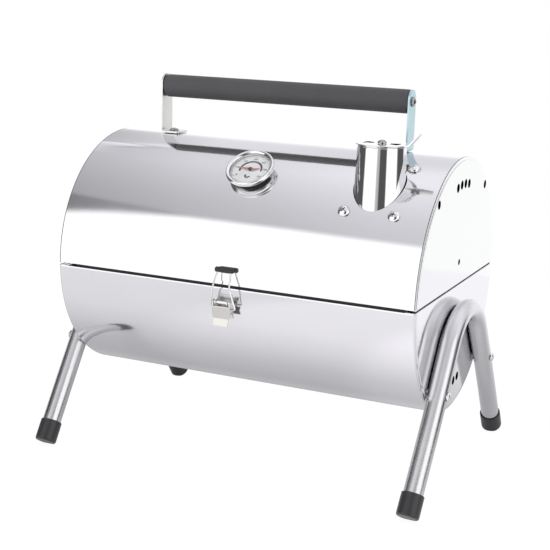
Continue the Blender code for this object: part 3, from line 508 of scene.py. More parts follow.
def round_drum(point, normal):
    """Round normals; the base's upper edge is rolled in, so it leans up there."""
    out = Vector((0.0, point.y, point.z - SEAM)).normalized()
    skin = facing(out, normal, 0.998)
    if skin is out and -SHELL_GAP - 0.001 < point.z - SEAM < 0.0:
        return Vector((0.0, out.y, ROLL_LEAN)).normalized()
    return skin


def shell(side):
    """Half drum of thin sheet, extruded along X."""
    start = asin(SHELL_GAP / RADIUS)
    sweep = steps_between(start, pi - start, 128)
    sweep[1:1] = [start + rise / RADIUS for rise in ROLL]
    sweep[-1:-1] = [pi - start - rise / RADIUS for rise in reversed(ROLL)]
    section = [(RADIUS, a) for a in sweep] + [(RADIUS - SHEET, a) for a in reversed(sweep)]
    return along_x(-EDGE, EDGE, [(r * cos(a), SEAM + side * r * sin(a)) for r, a in section])


piece("base_shell_sheet", shell(-1), "drum", "base", "base_shell", even=False, rule=round_drum)
cutters = [
    bore((CHIMNEY.x, CHIMNEY.y, SEAM + RADIUS), (0, 0, 1), CHIMNEY_HOLE, 0.08, 96),
    bore(drum_point(0, RADIUS, TILT), drum_out(TILT), GAUGE_HOLE, 0.006),
]
for label, end in ENDS:
    centre = (HANDLE_MIDDLE + end * FOOT_SCREW_X, 0, SEAM + RADIUS)
    cutters.append(bore(centre, (0, 0, 1), HANDLE_HOLE, 0.004))
lid = carved(shell(1), cutters)
piece("lid_shell_sheet", lid, "drum", "lid", "lid_shell", even=False, rule=round_drum)

# Dark lips and strips behind the seam: painted shade, dark sheets that darken its gap.
for row, sign in ROWS:
    outer, inner = RADIUS - 0.0005, RADIUS - 0.003
    top, step, foot = SEAM + 0.005, SEAM - SHELL_GAP - 0.0005, SEAM - SHELL_GAP - 0.0012
    edge = inner + 0.0006
    section = [(outer, step), (edge, step), (edge, top), (inner, top), (inner, foot), (outer, foot)]
    lip = along_x(-0.179, 0.191, [(sign * y, z) for y, z in section])
    piece(f"seam_lip_{row}", lip, "painted_shade", "base", sharp=30)
for label, end in ENDS:
    inner, outer = sorted((end * 0.195, end * 0.199))
    front = -0.1262 if end > 0 else -0.1
    strip = block((inner, front, SEAM - 0.004), (outer, 0.1262, SEAM + 0.0034))
    piece(f"seam_strip_{label}", strip, "painted_shade", "base", sharp=30)


def half_disc(x, radius, edge, side):
    """A half circle that ends a small distance from the seam."""
    start = asin(edge / radius)
    angles = steps_between(start, pi - start, 120)
    return [Vector((x, radius * cos(a), SEAM + side * radius * sin(a))) for a in angles]


def edge_ring(name, end, side, body, x_range, radii):
    """Half ring at the edge of an end plate: on the lid a dark one, painted shade in the gap or at the step
    there; on the base one of zinc.
    """
    (inner_x, outer_x), (inner, outer) = x_range, radii
    corners = ((inner_x, inner), (inner_x, outer), (outer_x, outer), (outer_x, inner))
    arcs = [half_disc(end * x, radius, RING_END, side) for x, radius in corners]
    piece(name, lofted(list(zip(*arcs))), "painted_shade" if side > 0 else "zinc", body, sharp=40)


def end_plate(prefix, label, end, side):
    """Half disc with a raised panel, a rim and an inner flange, from its panel round to its back."""
    tray = SHEET + GAP
    sections = [
        (FACE, 0.0046, 0.0014), (FACE, 0.0041, 0.0009), (FACE - 0.0001, 0.0038, 0.0006),
        (FACE - 0.0004, 0.0035, 0.0004), (RIM_FACE + 0.0001, 0.0033, 0.0003), (RIM_FACE, 0.003, 0.0002),
        (RIM_FACE, 0.0011, 0.0001), (RIM_FACE - 0.0001, 0.0005, 0.0001), (RIM_FACE - 0.0004, 0.0001, 0.0),
        (SEAT, 0.0, 0.0), (SEAT, tray, 0.0003), (SEAT - 0.0098, tray, 0.0003),
        (SEAT - 0.0098, tray + SHEET, 0.0011), (RIM_FACE - SHEET, tray + SHEET, 0.0011),
        (RIM_FACE - SHEET, 0.0042, 0.0018), (FACE - SHEET, 0.0047, 0.0022),
    ]
    loops = [half_disc(end * x, RADIUS - inset, PLATE_GAP + edge, side) for x, inset, edge in sections]
    plate = lofted(loops)
    if side < 0:
        plate = carved(plate, [grid_tab(end, y) for y in (-0.06, 0.06)], "UNION")
    angles = [radians(angle) for angle in (-10.5, -3.5, 3.5, 10.5)]
    holes = [(VENT_CIRCLE * sin(a), VENT_CIRCLE * cos(a), VENT_RADIUS) for a in angles]
    holes += [(-BOLT_Y, BOLT_DROP, 0.0045), (BOLT_Y, BOLT_DROP, 0.0045), (0.0, 0.0243, 0.0032)]
    cutters = [bore((end * FACE, y, SEAM + side * rise), (1, 0, 0), r, 0.004) for y, rise, r in holes]
    body = "lid" if side > 0 else "base"
    name = f"{prefix}_end_plate_{label}"
    piece(f"{name}_sheet", carved(plate, cutters), "plate", body, name, sharp=32)
    # Rings in the edge gap and at the rim's step; on the lid they are painted shade.
    gap = (EDGE - 0.0004, SEAT + 0.0003), (RADIUS - 0.0009, RADIUS - 0.0002)
    edge_ring(f"{name}_gap", end, side, body, *gap)
    step = (RIM_FACE - 0.0003, RIM_FACE + 0.0002), (RADIUS - 0.004, RADIUS - 0.0033)
    edge_ring(f"{name}_step", end, side, body, *step)


def grid_tab(end, y):
    """Ledge inside an end plate of the base, which carries the cooking grid."""
    inner, outer = sorted((end * (FACE - 0.018), end * (FACE - 0.0004)))
    top = SEAM - 0.023 - GAP
    return block((inner, y - 0.015, top - 0.001), (outer, y + 0.015, top))


for label, end in ENDS:
    end_plate("lid", label, end, 1)
    end_plate("base", label, end, -1)


# ---- legs


def leg_path(x):
    """From the front end of the tube, over the bend, to its rear end. Each limb leans in towards its foot."""
    turns = steps_between(SPLAY, pi - SPLAY, 48)
    arc = [Vector((x, -LEG_BEND * cos(a), BEND_Z + LEG_BEND * sin(a))) for a in turns]
    length = (arc[0].z - 0.0075) / cos(SPLAY)
    front = arc[0] + length * Vector((0.0, -sin(SPLAY), -cos(SPLAY)))
    rear = arc[-1] + length * Vector((0.0, sin(SPLAY), -cos(SPLAY)))
    path = steps_between(front, arc[0], 12)[:-1] + arc + steps_between(arc[-1], rear, 12)[1:]
    for point in path:
        point.x -= copysign(LEAN_IN * max(0.0, 1 - point.z / LEAN_TOP) ** 1.5, x)
    return path


# From the middle of the cup's floor inside, over its beaded rim, to the middle of its sole.
CAP_PROFILE = [
    (0.0, 0.0003), (0.0102, 0.0003), (0.0102, -0.0197), (0.0105, -0.02), (0.0109, -0.02), (0.0113, -0.0197),
    (0.0115, -0.0192), (0.0115, -0.0182), (0.01138, -0.0176), (0.01138, -0.0168), (0.0115, -0.0162),
    (0.0115, 0.0012), (0.0112, 0.0024), (0.0106, 0.0032), (0.0096, 0.0035), (0.0, 0.0035),
]


def foot_cap(name, tube_end, down):
    """Rubber cup, its sole level with the ground."""
    form = spun(CAP_PROFILE)
    bmesh.ops.remove_doubles(form, verts=form.verts, dist=MERGE)
    bmesh.ops.transform(form, matrix=aimed(tube_end, down), verts=form.verts)
    everything = form.verts[:] + form.edges[:] + form.faces[:]
    bmesh.ops.bisect_plane(form, geom=everything, plane_co=(0, 0, 0), plane_no=(0, 0, -1), clear_outer=True)
    bmesh.ops.holes_fill(form, edges=[edge for edge in form.edges if edge.is_boundary])
    piece(f"{name}_rubber", form, "rubber", "base", name, sharp=40)


def dome(radius, height, steps=8):
    """Domed head in profile, with a short straight edge at its rim."""
    edge = 0.16 * height
    angles = steps_between(0, 0.5 * pi, steps)
    top = [(radius * sin(a), edge + (height - edge) * cos(a)) for a in angles]
    return top + [(radius * 0.985, 0.0)]


def cross_cutters(radius, height):
    """Two tapered bars that cut a cross recess into a head."""
    made = []
    for turn in (0.0, 0.5 * pi):
        loops = []
        for depth, length, width in ((0.25, 0.234, 0.0595), (1.3, 0.572, 0.1275)):
            x, y = radius * length, radius * width
            corners = ((-x, -y), (x, -y), (x, y), (-x, y))
            loops.append([Vector((*corner, depth * height)) for corner in corners])
        made.append(moved(lofted(loops), Matrix.Rotation(turn, 4, "Z")))
    return made


def fastener(name, body, seat, out, size, nut=None, look="chrome", twist=0.3):
    """Screw or bolt with a cross recess. A nut is its radius and its start and end below the seat."""
    head, height, shank, length = size
    profile = dome(head, height) + [(shank, 0.0)]
    if nut:
        radius, start, end = nut
        profile += [(shank, -start), (radius, -start), (radius, -end), (shank, -end)]
    profile += [(shank, -length + 0.0004), (shank - 0.0004, -length), (0.0, -length)]
    mesh = carved(spun(profile, 40), cross_cutters(head, height))
    place = aimed(seat, out) @ Matrix.Rotation(twist, 4, "Z")
    piece(f"{name}_fixing", mesh, look, body, name, sharp=30, place=place)


for label, end in ENDS:
    path = leg_path(end * LEG_X)
    piece(f"leg_{label}_tube", tube(path, LEG_TUBE, 40), "tube", "base", f"leg_{label}", sharp=60)
    foot_cap(f"foot_cap_front_{label}", path[0], path[0] - path[1])
    foot_cap(f"foot_cap_rear_{label}", path[-1], path[-1] - path[-2])
    for row, sign in ROWS:
        seat = (end * (LEG_X + LEG_TUBE + GAP), sign * BOLT_Y, SEAM - BOLT_DROP)
        fastener(f"leg_bolt_{row}_{label}", "base", seat, (end, 0, 0), LEG_BOLT, twist=0.6)


# ---- handle


def strap(label, end):
    """Bent strap: flat foot on the lid, a rounded bend and an upright with a round end."""
    half, aside = (0.01, 0.0) if end > 0 else (0.0111, 0.0008)
    outer = STRAP_X + 0.5 * STRAP_THICK + aside
    quarter = 0.5 * pi
    stations = []
    for a in steps_between(0, quarter, 8):
        x = STRAP_FOOT_START + STRAP_CORNER * (1 - cos(a))
        stations.append((x, CROWN, (0, 1), half - STRAP_CORNER * (1 - sin(a))))
    for a in steps_between(0, quarter, 10):
        x, z = outer - STRAP_CORNER * (1 - sin(a)), CROWN + STRAP_CORNER * (1 - cos(a))
        stations.append((x, z, (-sin(a), cos(a)), half))
    for a in steps_between(0, quarter, 24):
        width = max(half * cos(a), 0.0004)
        stations.append((outer, GRIP_Z + 0.0023 + half * sin(a), (-1, 0), width))
    loops = []
    for x, z, inward, width in stations:
        back_x, back_z = x + inward[0] * STRAP_THICK, z + inward[1] * STRAP_THICK
        corners = ((x, -width, z), (x, width, z), (back_x, width, back_z), (back_x, -width, back_z))
        loops.append([Vector((HANDLE_MIDDLE + end * along, y, height)) for along, y, height in corners])
    name = f"handle_bracket_{label}"
    look = "film" if end > 0 else "strap"
    piece(f"{name}_strap", lofted(loops), look, "lid", name, sharp=40, bevel=0.0003)
    seat = (HANDLE_MIDDLE + end * (outer + GAP), 0, GRIP_Z)
    fastener(f"grip_screw_{label}", "lid", seat, (end, 0, 0), GRIP_SCREW, look="screw")
    seat = (HANDLE_MIDDLE + end * FOOT_SCREW_X, 0, CROWN + STRAP_THICK + GAP)
    clinch = STRAP_THICK + GAP + 0.0022
    nut = (0.0048, clinch, clinch + 0.004)
    fastener(f"handle_screw_{label}", "lid", seat, (0, 0, 1), FOOT_SCREW, nut, "screw")


for label, end in ENDS:
    strap(label, end)

reach = STRAP_X - 0.5 * STRAP_THICK - GAP
rounding = [(0.0, 0.0), (0.0096, 0.0), (0.0108, 0.0003), (0.0117, 0.001), (0.0122, 0.0021), (0.0123, 0.0034)]
grip = spun(both_ends([(radius, reach - inset) for radius, inset in rounding], 0.0008), 64)
place = aimed((HANDLE_MIDDLE, 0, GRIP_Z), (1, 0, 0))
piece("grip_moulding", grip, "plastic", "lid", "handle_grip", sharp=40, place=place)


# ---- chimney and damper


VENT_INNER = 0.0085
VENT_OUTER = 0.0185
PIVOT_HOLE = 0.0021


def round_cone(point, normal):
    """Round normals, leaning with the tube where it tapers."""
    lean = (CONE_FOOT - CONE_TOP) / (CHIMNEY_TOP - CONE_END)
    out = Vector((point.x - CHIMNEY.x, point.y - CHIMNEY.y, 0.0)).normalized()
    if point.z > CONE_END + 0.0005:
        out = Vector((out.x, out.y, lean)).normalized()
    return facing(out, normal, 0.99)


def on_chimney(top, profile, steps=96):
    """A mesh turned about the chimney's axis, from (radius, depth below its top) points."""
    form = spun([(radius, top - depth) for radius, depth in profile], steps)
    return moved(form, Matrix.Translation(CHIMNEY))


def vents(half_turn, low, high):
    """Cutters for the two ring-sector vents about the chimney's axis."""
    made = []
    for middle in (0.0, pi):
        sweep = steps_between(middle - half_turn, middle + half_turn, 24)
        outline = [(VENT_OUTER, a) for a in sweep] + [(VENT_INNER, a) for a in reversed(sweep)]
        points = [CHIMNEY + Vector((r * cos(a), r * sin(a), low)) for r, a in outline]
        made.append(prism(points, Vector((0, 0, high - low))))
    return made


cone = CHIMNEY_TOP - CONE_END
flue = on_chimney(CHIMNEY_TOP, [
    (CONE_TOP - 0.0007, 0.0), (CONE_TOP - 0.0002, 0.0001), (CONE_TOP, 0.0004),
    (CONE_FOOT, cone), (CONE_FOOT, cone + 0.016), (CONE_FOOT - 0.001, cone + 0.016),
    (CONE_FOOT - 0.001, cone), (CONE_TOP - 0.001, 0.0002),
])
drum_bore = bore((CHIMNEY.x, 0, SEAM), (1, 0, 0), RADIUS - 0.004, 0.06, 160)
flue = carved(flue, [drum_bore])
piece("chimney_sheet", flue, "chrome", "lid", "chimney_tube", even=False, rule=round_cone)

cap_top = CHIMNEY_TOP + GAP + SHEET
skirt = CONE_TOP - 0.001 - GAP
cap = on_chimney(cap_top, [
    (PIVOT_HOLE, 0.0), (CONE_TOP - 0.0003, 0.0), (CONE_TOP, 0.0003), (CONE_TOP, SHEET), (skirt, SHEET),
    (skirt, 0.006), (skirt - SHEET, 0.006), (skirt - SHEET, SHEET), (PIVOT_HOLE, SHEET),
], 72)
cap = carved(cap, vents(radians(28), cap_top - 0.002, cap_top + 0.002))
piece("chimney_cap_sheet", cap, "chrome", "lid", "chimney_cap", sharp=30)

low = cap_top + GAP
high = low + 0.001
disc = on_chimney(high, [
    (PIVOT_HOLE, 0.0), (0.0252, 0.0), (0.0256, 0.0001), (0.0259, 0.0004),
    (0.0259, 0.0007), (0.0256, 0.001), (PIVOT_HOLE, 0.001),
])
tab = [(0.024, 0.0001), (0.028, 0.0001), (0.029, 0.0005), (0.0388, 0.012)]
tab += [(0.038, 0.0127), (0.0283, 0.0012), (0.0276, 0.0008), (0.024, 0.0008)]
tab = prism([CHIMNEY + Vector((x, -0.0055, low + z)) for x, z in tab], Vector((0, 0.011, 0)))
disc = carved(carved(disc, [tab], "UNION"), vents(radians(24), low - 0.002, low + 0.003))
piece("damper_plate", disc, "chrome", "damper", "damper_disc", sharp=30)
nut_start = high - cap_top + SHEET + 2 * GAP
nut = (0.004, nut_start, nut_start + 0.0032)
fastener("damper_screw", "lid", (CHIMNEY.x, CHIMNEY.y, high + GAP), (0, 0, 1), DAMPER_SCREW, nut, "screw")
for row, angle in (("rear", radians(22.5)), ("front", radians(51.0))):
    for label, sign in ENDS:
        seat = drum_point(CHIMNEY.x + sign * 0.0257, RADIUS + GAP, angle)
        screw = f"chimney_screw_{row}_{label}"
        fastener(screw, "lid", seat, drum_out(angle), CHIMNEY_SCREW, twist=0.5 + sign)


# ---- thermometer


# In gauge space Z runs out of the dial, and X and Y are the dial's own right and up.
UP = Vector((0.0, cos(TILT), sin(TILT)))
OUT = drum_out(TILT)
DIAL_FRAME = Matrix((
    (1.0, 0.0, 0.0, 0.0),
    (0.0, UP.y, OUT.y, 0.0),
    (0.0, UP.z, OUT.z, SEAM),
    (0.0, 0.0, 0.0, 1.0),
))
DIAL_TOP = GAUGE_BACK + 0.0034
MARK_HEIGHT = 0.00012
SCALE_START = -125
SCALE_SWEEP = 250
NEEDLE_ANGLE = -86.0
NEEDLE_Z = DIAL_TOP + 0.0012


def on_dial(name, shape, look, *stands_for, at=(0, 0, 0), **settings):
    """A piece on the lid, made in gauge space."""
    place = DIAL_FRAME @ Matrix.Translation(at)
    piece(name, shape, look, "lid", *stands_for, place=place, **settings)


def raised_mark(form, points):
    """Adds a thin raised shape to a form, on the dial."""
    low = [form.verts.new((x, y, DIAL_TOP)) for x, y in points]
    high = [form.verts.new((x, y, DIAL_TOP + MARK_HEIGHT)) for x, y in points]
    form.faces.new(high)
    form.faces.new(low[::-1])
    wall(form, low, high)


def ray(radius, degrees, aside=0.0):
    """A dial point at a clock-like angle, 0 at the top and clockwise."""
    a = radians(degrees)
    return (radius * sin(a) + aside * cos(a), radius * cos(a) - aside * sin(a))


def arc_strip(form, inner, outer, start, end, steps):
    sweep = steps_between(start, end, steps)
    for a, b in zip(sweep, sweep[1:]):
        raised_mark(form, [ray(inner, a), ray(outer, a), ray(outer, b), ray(inner, b)])


def dial_marks():
    """The scale and the arc inside it."""
    form = bmesh.new()
    for step in range(31):
        angle = SCALE_START + step * SCALE_SWEEP / 30
        inner, half = (0.0174, 0.0002) if step % 5 == 0 else (0.0182, 0.00011)
        corners = ((inner, -half), (0.0192, -half), (0.0192, half), (inner, half))
        raised_mark(form, [ray(radius, angle, aside) for radius, aside in corners])
    arc_strip(form, 0.0106, 0.0126, -105, 95, 48)
    return form


def dial_number(label, angle):
    curve = bpy.data.curves.new(f"number_{label}", "FONT")
    curve.body = label
    curve.size = 0.003
    curve.align_x = "CENTER"
    curve.align_y = "CENTER"
    curve.extrude = 0.00005
    word = shown("word", curve)
    mesh = evaluated(word)
    bpy.data.objects.remove(word)
    on_dial(f"gauge_number_{label}", mesh, "ink", at=(*ray(0.0153, angle), DIAL_TOP + 0.00006), even=False)


bezel = [
    (0.021, 0.0024), (0.0213, 0.0016), (0.022, 0.0008), (0.023, 0.0002), (0.024, 0.0),
    (0.0248, 0.0003), (0.0252, 0.0009), (0.0254, 0.0018), (0.0254, 0.0034),
    (0.0252, 0.0042), (0.0247, 0.0048), (0.0237, 0.0052), (0.0232, 0.0056),
]
case = [(radius, GAUGE_FRONT - depth) for radius, depth in bezel]
back = [(0.023, 0.002), (0.0222, 0.0008), (0.0205, 0.0), (0.0041, 0.0), (0.0041, 0.001), (0.021, 0.001)]
case += [(radius, GAUGE_BACK + rise) for radius, rise in back]
on_dial("gauge_case", spun(case, 72), "chrome", "thermometer_case", sharp=50)
disc = [(0.0019, DIAL_TOP), (0.0207, DIAL_TOP), (0.0207, DIAL_TOP - 0.001), (0.0019, DIAL_TOP - 0.001)]
on_dial("gauge_dial", spun(disc, 72), "dial", "thermometer_dial")
pane = [(0.0, 0.0), (0.0204, 0.0), (0.0208, 0.0003), (0.0208, 0.001), (0.0, 0.001)]
pane = spun([(radius, GAUGE_FRONT - 0.0018 - depth) for radius, depth in pane], 72)
on_dial("gauge_glass", pane, "glass", "thermometer_glass")
on_dial("gauge_marks", dial_marks(), "ink", sharp=30)
for step in range(7):
    dial_number(str(50 * (step + 1)), SCALE_START + step * SCALE_SWEEP / 6)
half = [(-0.006, 0.001), (0.0, 0.0014), (0.0158, 0.0002)]
blade = half + [(radius, -aside) for radius, aside in reversed(half)]
needle = prism([(*ray(radius, NEEDLE_ANGLE, aside), 0) for radius, aside in blade], Vector((0, 0, 0.0003)))
on_dial("gauge_needle", needle, "red", "thermometer_needle", at=(0, 0, NEEDLE_Z), sharp=30)
hub = [(0.0, 0.0009), (0.0012, 0.0009), (0.0018, 0.0006), (0.0021, 0.0), (0.0021, -0.0004), (0.0, -0.0004)]
on_dial("gauge_hub", spun(hub, 32), "ink", at=(0, 0, NEEDLE_Z + 0.0003), sharp=40)
zone = bmesh.new()
raised_mark(zone, [(0.0022, -0.0004), (0.0096, 0.001), (0.009, 0.0034), (0.0022, 0.0022)])
on_dial("gauge_zone", zone, "red", sharp=30)
low_mark = bmesh.new()
arc_strip(low_mark, 0.0016, 0.0034, 100, 300, 16)
on_dial("gauge_low_mark", low_mark, "ink", at=(0, -0.0088, 0), sharp=30)


# ---- latch


LATCH_SHEET = 0.001
SKIN = -RADIUS + 0.0002
# The lever's face from top to lip: its front Y, its height from the seam and its half width.
LEVER_FACE = [
    (-0.1422, -0.0184, 0.0098), (-0.143, -0.0188, 0.01), (-0.1432, -0.0194, 0.01),
    (-0.1426, -0.0265, 0.01), (-0.1424, -0.0288, 0.0096), (-0.1422, -0.0306, 0.0088),
    (-0.1422, -0.0314, 0.0085), (-0.1424, -0.0324, 0.0084), (-0.1434, -0.037, 0.008),
    (-0.1437, -0.0382, 0.0077), (-0.1437, -0.0386, 0.0072),
]


def latch_base():
    """A plate on the base with two ears that hold the pin."""
    plate = wrapped(-0.007, 0.007, (RADIUS + GAP, RADIUS + 0.0012), (93.5, 104.5), 12)
    y, z = LATCH_PIVOT.yz
    ear = [
        (-RADIUS + 0.0022, SEAM - 0.026), (SKIN, z + 0.0012), (y + 0.001, z + 0.0028),
        (y - 0.0014, z + 0.0024), (y - 0.0025, z + 0.001), (y - 0.0026, z - 0.0014),
        (y - 0.0014, z - 0.0026), (y + 0.0006, z - 0.003),
    ]
    ears = [along_x(x, x + LATCH_SHEET, ear) for x in (-0.007, 0.006)]
    plate = carved(plate, ears, "UNION")
    piece("latch_base_sheet", plate, "zinc", "base", "latch_base", sharp=30, bevel=0.00015)


def lever_face(stations, inset, back, thickness):
    """The lever's face as a skin through its stations, made narrower and set back."""
    loops = []
    for y, rise, half in stations:
        x, near = half - inset, y + back
        corners = ((-x, near), (x, near), (x, near + thickness), (-x, near + thickness))
        loops.append([Vector((across, depth, SEAM + rise)) for across, depth in corners])
    return lofted(loops)


def latch_lever():
    """A face that narrows to a lip kicked outward, with a cheek at each side up to the pin."""
    cheek = [(-0.1431, SEAM - 0.019)]
    for a in steps_between(radians(200), 0, 8):
        cheek.append((LATCH_PIVOT.y + 0.0027 * cos(a), LATCH_PIVOT.z + 0.0027 * sin(a)))
    y, z = BAIL_PIVOT.yz
    cheek += [(y + 0.0026, z + 0.0008), (y + 0.0022, z - 0.0016), (y + 0.0006, z - 0.0028)]
    cheek.append((-0.1424, SEAM - 0.0262))
    cheeks = [along_x(x, x + LATCH_SHEET, cheek) for x in (-0.01, 0.009)]
    lever = carved(lever_face(LEVER_FACE, 0.0, 0.0, LATCH_SHEET), cheeks, "UNION")
    # A thin dark sheet just behind the lower face: painted shade under the lever.
    shade_backing = lever_face(LEVER_FACE[3:], 0.0005, 0.0009, 0.0003)
    piece("latch_lever_back", shade_backing, "shade", "latch_lever", sharp=30)
    piece("latch_lever_sheet", lever, "lever", "latch_lever", "latch_lever", sharp=30, bevel=0.00015)


def latch_bail():
    """The wire bail on the lever, with a plastic bar."""
    half = [(0.0078, BAIL_PIVOT), (0.014, BAIL_PIVOT), (0.0094, BAIL_BULGE), (0.0068, BAIL_BAR)]
    corners = [Vector((-x, *point.yz)) for x, point in half]
    corners += [Vector((x, *point.yz)) for x, point in reversed(half)]
    wire = tube(eased(corners, 0.0021), 0.0009, 16)
    piece("bail_wire", wire, "chrome", "latch_bail", "latch_bail", sharp=60)
    bar = both_ends([(0.0, 0.0105), (0.0014, 0.0104), (0.0022, 0.01), (0.0027, 0.0093), (0.0028, 0.0084)])
    place = aimed(BAIL_BAR, (1, 0, 0))
    piece("bail_bar", spun(bar, 32), "bar", "latch_bail", "latch_sleeve", place=place, sharp=50)


def latch_catch():
    """A plate on the lid with a ledge behind the bar."""
    plate = wrapped(-0.0052, 0.0052, (RADIUS + GAP, RADIUS + 0.0009), (84.2, 87.6), 8)
    y, z = BAIL_BAR.yz
    ledge = [(SKIN, z - 0.0046), (y + 0.0032, z - 0.0044), (y + 0.0032, z - 0.0038), (SKIN, z - 0.0038)]
    catch = carved(plate, [along_x(-0.005, 0.005, ledge)], "UNION")
    piece("catch_sheet", catch, "catch", "lid", "latch_catch", sharp=30, bevel=0.0001)


latch_base()
latch_lever()
pin = both_ends([(0.0, 0.0111), (0.0014, 0.0111), (0.0021, 0.0109), (0.0023, 0.0103), (0.0016, 0.0103)])
piece("latch_rivet", spun(pin, 24), "chrome", "base", "latch_pin", place=aimed(LATCH_PIVOT, (1, 0, 0)))
latch_bail()
latch_catch()


# ---- hinges


KNUCKLES = {"lid": ((-0.0046, 0.0046),), "base": ((-HINGE_HALF, -0.005), (0.005, HINGE_HALF))}


def hinge_leaf(body, side, label, x):
    """A leaf riveted to the drum, with its knuckles round the pin."""
    degrees = sorted((-90 + side * 0.8, -90 + side * 8.5))
    leaf = wrapped(x - HINGE_HALF, x + HINGE_HALF, (RADIUS + GAP, RADIUS + 0.0013), degrees, 10)
    low, high = sorted((SEAM + side * 0.002, SEAM + side * 0.003))
    parts = []
    for start, end in KNUCKLES[body]:
        roll = [(0.0, end), (0.0028, end), (0.0031, end - 0.0002), (0.0032, end - 0.0005)]
        roll += [(0.0032, start + 0.0005), (0.0031, start + 0.0002), (0.0028, start), (0.0, start)]
        parts.append(moved(spun(roll, 32), aimed((x, HINGE_Y, SEAM), (1, 0, 0))))
        parts.append(block((x + start, RADIUS + 0.0006, low), (x + end, HINGE_Y, high)))
    name = f"hinge_{body}_leaf_{label}"
    piece(f"{name}_sheet", carved(leaf, parts, "UNION"), "zinc", body, name, sharp=30)
    angle = radians(-90 + side * 6.0)
    for offset in (-0.0095, 0.0095):
        head = spun(dome(0.0022, 0.0011, 6) + [(0.0, 0.0)], 24)
        place = aimed(drum_point(x + offset, RADIUS + 0.0013, angle), drum_out(angle))
        rivet = f"hinge_rivet_{body}_{label}_{'in' if offset * x < 0 else 'out'}"
        piece(rivet, head, "zinc", body, place=place, sharp=50)


for label, end in ENDS:
    x = end * HINGE_X
    hinge_leaf("lid", 1, label, x)
    hinge_leaf("base", -1, label, x)
    pin = both_ends([(0.0, 0.0155), (0.0016, 0.0155), (0.0021, 0.0152), (0.0022, 0.0148), (0.0014, 0.0148)])
    place = aimed((x, HINGE_Y, SEAM), (1, 0, 0))
    piece(f"hinge_pin_{label}_rod", spun(pin, 24), "zinc", "base", f"hinge_pin_{label}", place=place)


# ---- grids


GRID_RIM = 0.0015
GRID_WIRE = 0.0013
GRID_CORNER = 0.01


def rounded_rectangle(half_x, half_y, radius, z):
    path = []
    for sign_x, sign_y, start in ((1, 1, 0), (-1, 1, 90), (-1, -1, 180), (1, -1, 270)):
        x, y = sign_x * (half_x - radius), sign_y * (half_y - radius)
        for degrees in steps_between(start, start + 90, 8):
            a = radians(degrees)
            path.append(Vector((x + radius * cos(a), y + radius * sin(a), z)))
    return path


def closed_bar(path, radius, form):
    """A closed round bar through a flat loop of points."""
    up = Vector((0, 0, 1))
    rings = []
    for index, point in enumerate(path):
        along = (path[(index + 1) % len(path)] - path[index - 1]).normalized()
        side = along.cross(up).normalized()
        rings.append([form.verts.new(spot) for spot in circle(point, radius, side, up, 12)])
    for ring, following in zip(rings, rings[1:] + rings[:1]):
        wall(form, ring, following)


def cooking_grid():
    """A rim with eleven long wires and two cross wires under them."""
    low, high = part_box("cooking_grid")
    middle = 0.5 * (low.z + high.z)
    half_x, half_y = high.x, high.y
    form = bmesh.new()
    rim = rounded_rectangle(half_x - GRID_RIM, half_y - GRID_RIM, GRID_CORNER, middle)
    closed_bar(rim, GRID_RIM, form)
    pitch = 2 * half_y / 12.24
    reach = half_x - 0.0016
    for wire in range(1, 12):
        y = -half_y + (wire + 0.12) * pitch
        tube([Vector((-reach, y, middle)), Vector((reach, y, middle))], GRID_WIRE, 12, form)
    reach = half_y - 0.0016
    for wire in (1, 2):
        x = -half_x + wire * (2 * half_x - 0.004) / 3 + 0.002
        tube([Vector((x, -reach, middle - 0.0002)), Vector((x, reach, middle - 0.0002))], GRID_WIRE, 12, form)
    piece("grid_wires", form, "enamel", "cooking_grid", "cooking_grid", sharp=60)


cooking_grid()

# Solids that show little keep their shape and get a finish.
finishes = {"charcoal_grate": "enamel"}
for name in ("chimney_flange", "thermometer_stem", "thermometer_nut"):
    finishes[name] = "zinc"
for row, _ in ROWS:
    for label, _ in ENDS:
        finishes[f"leg_spacer_{row}_{label}"] = finishes[f"leg_nut_{row}_{label}"] = "zinc"
for name, look in finishes.items():
    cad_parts[name].data.materials.clear()
    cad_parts[name].data.materials.append(LOOKS[look])


# ---- floor, light and camera


FLOOR = 0.93
WHITE = (1.0, 1.0, 1.0)


def at(degrees):
    """Where an angle falls on a ramp that covers the full turn."""
    return degrees / 360.0 + 0.5


def turned(graph, rise, run):
    """The angle of a direction, from 0 at -180 degrees to 1 at 180."""
    return graph.math("MULTIPLY_ADD", graph.math("ARCTAN2", rise, run), 0.5 / pi, 0.5)


def round_ramp(graph, angle, *stops):
    return graph.ramp(angle, [(at(degrees), tone) for degrees, tone in stops])


def dark_lines(graph, x, arc, sideways):
    """Two dark lines with a lighter wedge between them, high up towards the left end."""
    lower = ((0.193, 108.0), (0.2, 112.0), (0.217, 117.4), (0.23, 119.3))
    lower += ((0.257, 120.9), (0.293, 122.4), (0.33, 124.3), (0.36, 125.5))
    upper = ((0.22, 128.5), (0.247, 128.2), (0.273, 127.8), (0.303, 126.5), (0.33, 125.0))
    fade = graph.spread(x, -0.502, -0.485, 1.0, 0.0)
    past, dimmed = [], []
    for line, darkness in ((lower, 0.4), (upper, 0.3)):
        course = graph.ramp(sideways, [(place, at(degrees)) for place, degrees in line])
        past.append(graph.math("SUBTRACT", arc, course))
        near = graph.smooth(graph.math("ABSOLUTE", past[-1]), 0.0006, 0.0034, darkness, 0.0)
        dimmed.append(graph.math("SUBTRACT", 1.0, graph.times(near, fade)))
    above, below = graph.smooth(past[0], 0.001, 0.004), graph.smooth(past[1], -0.004, -0.001, 1.0, 0.0)
    wedge = graph.times(above, below)
    return graph.times(*dimmed, graph.math("MULTIPLY_ADD", wedge, 0.35, 1.0))


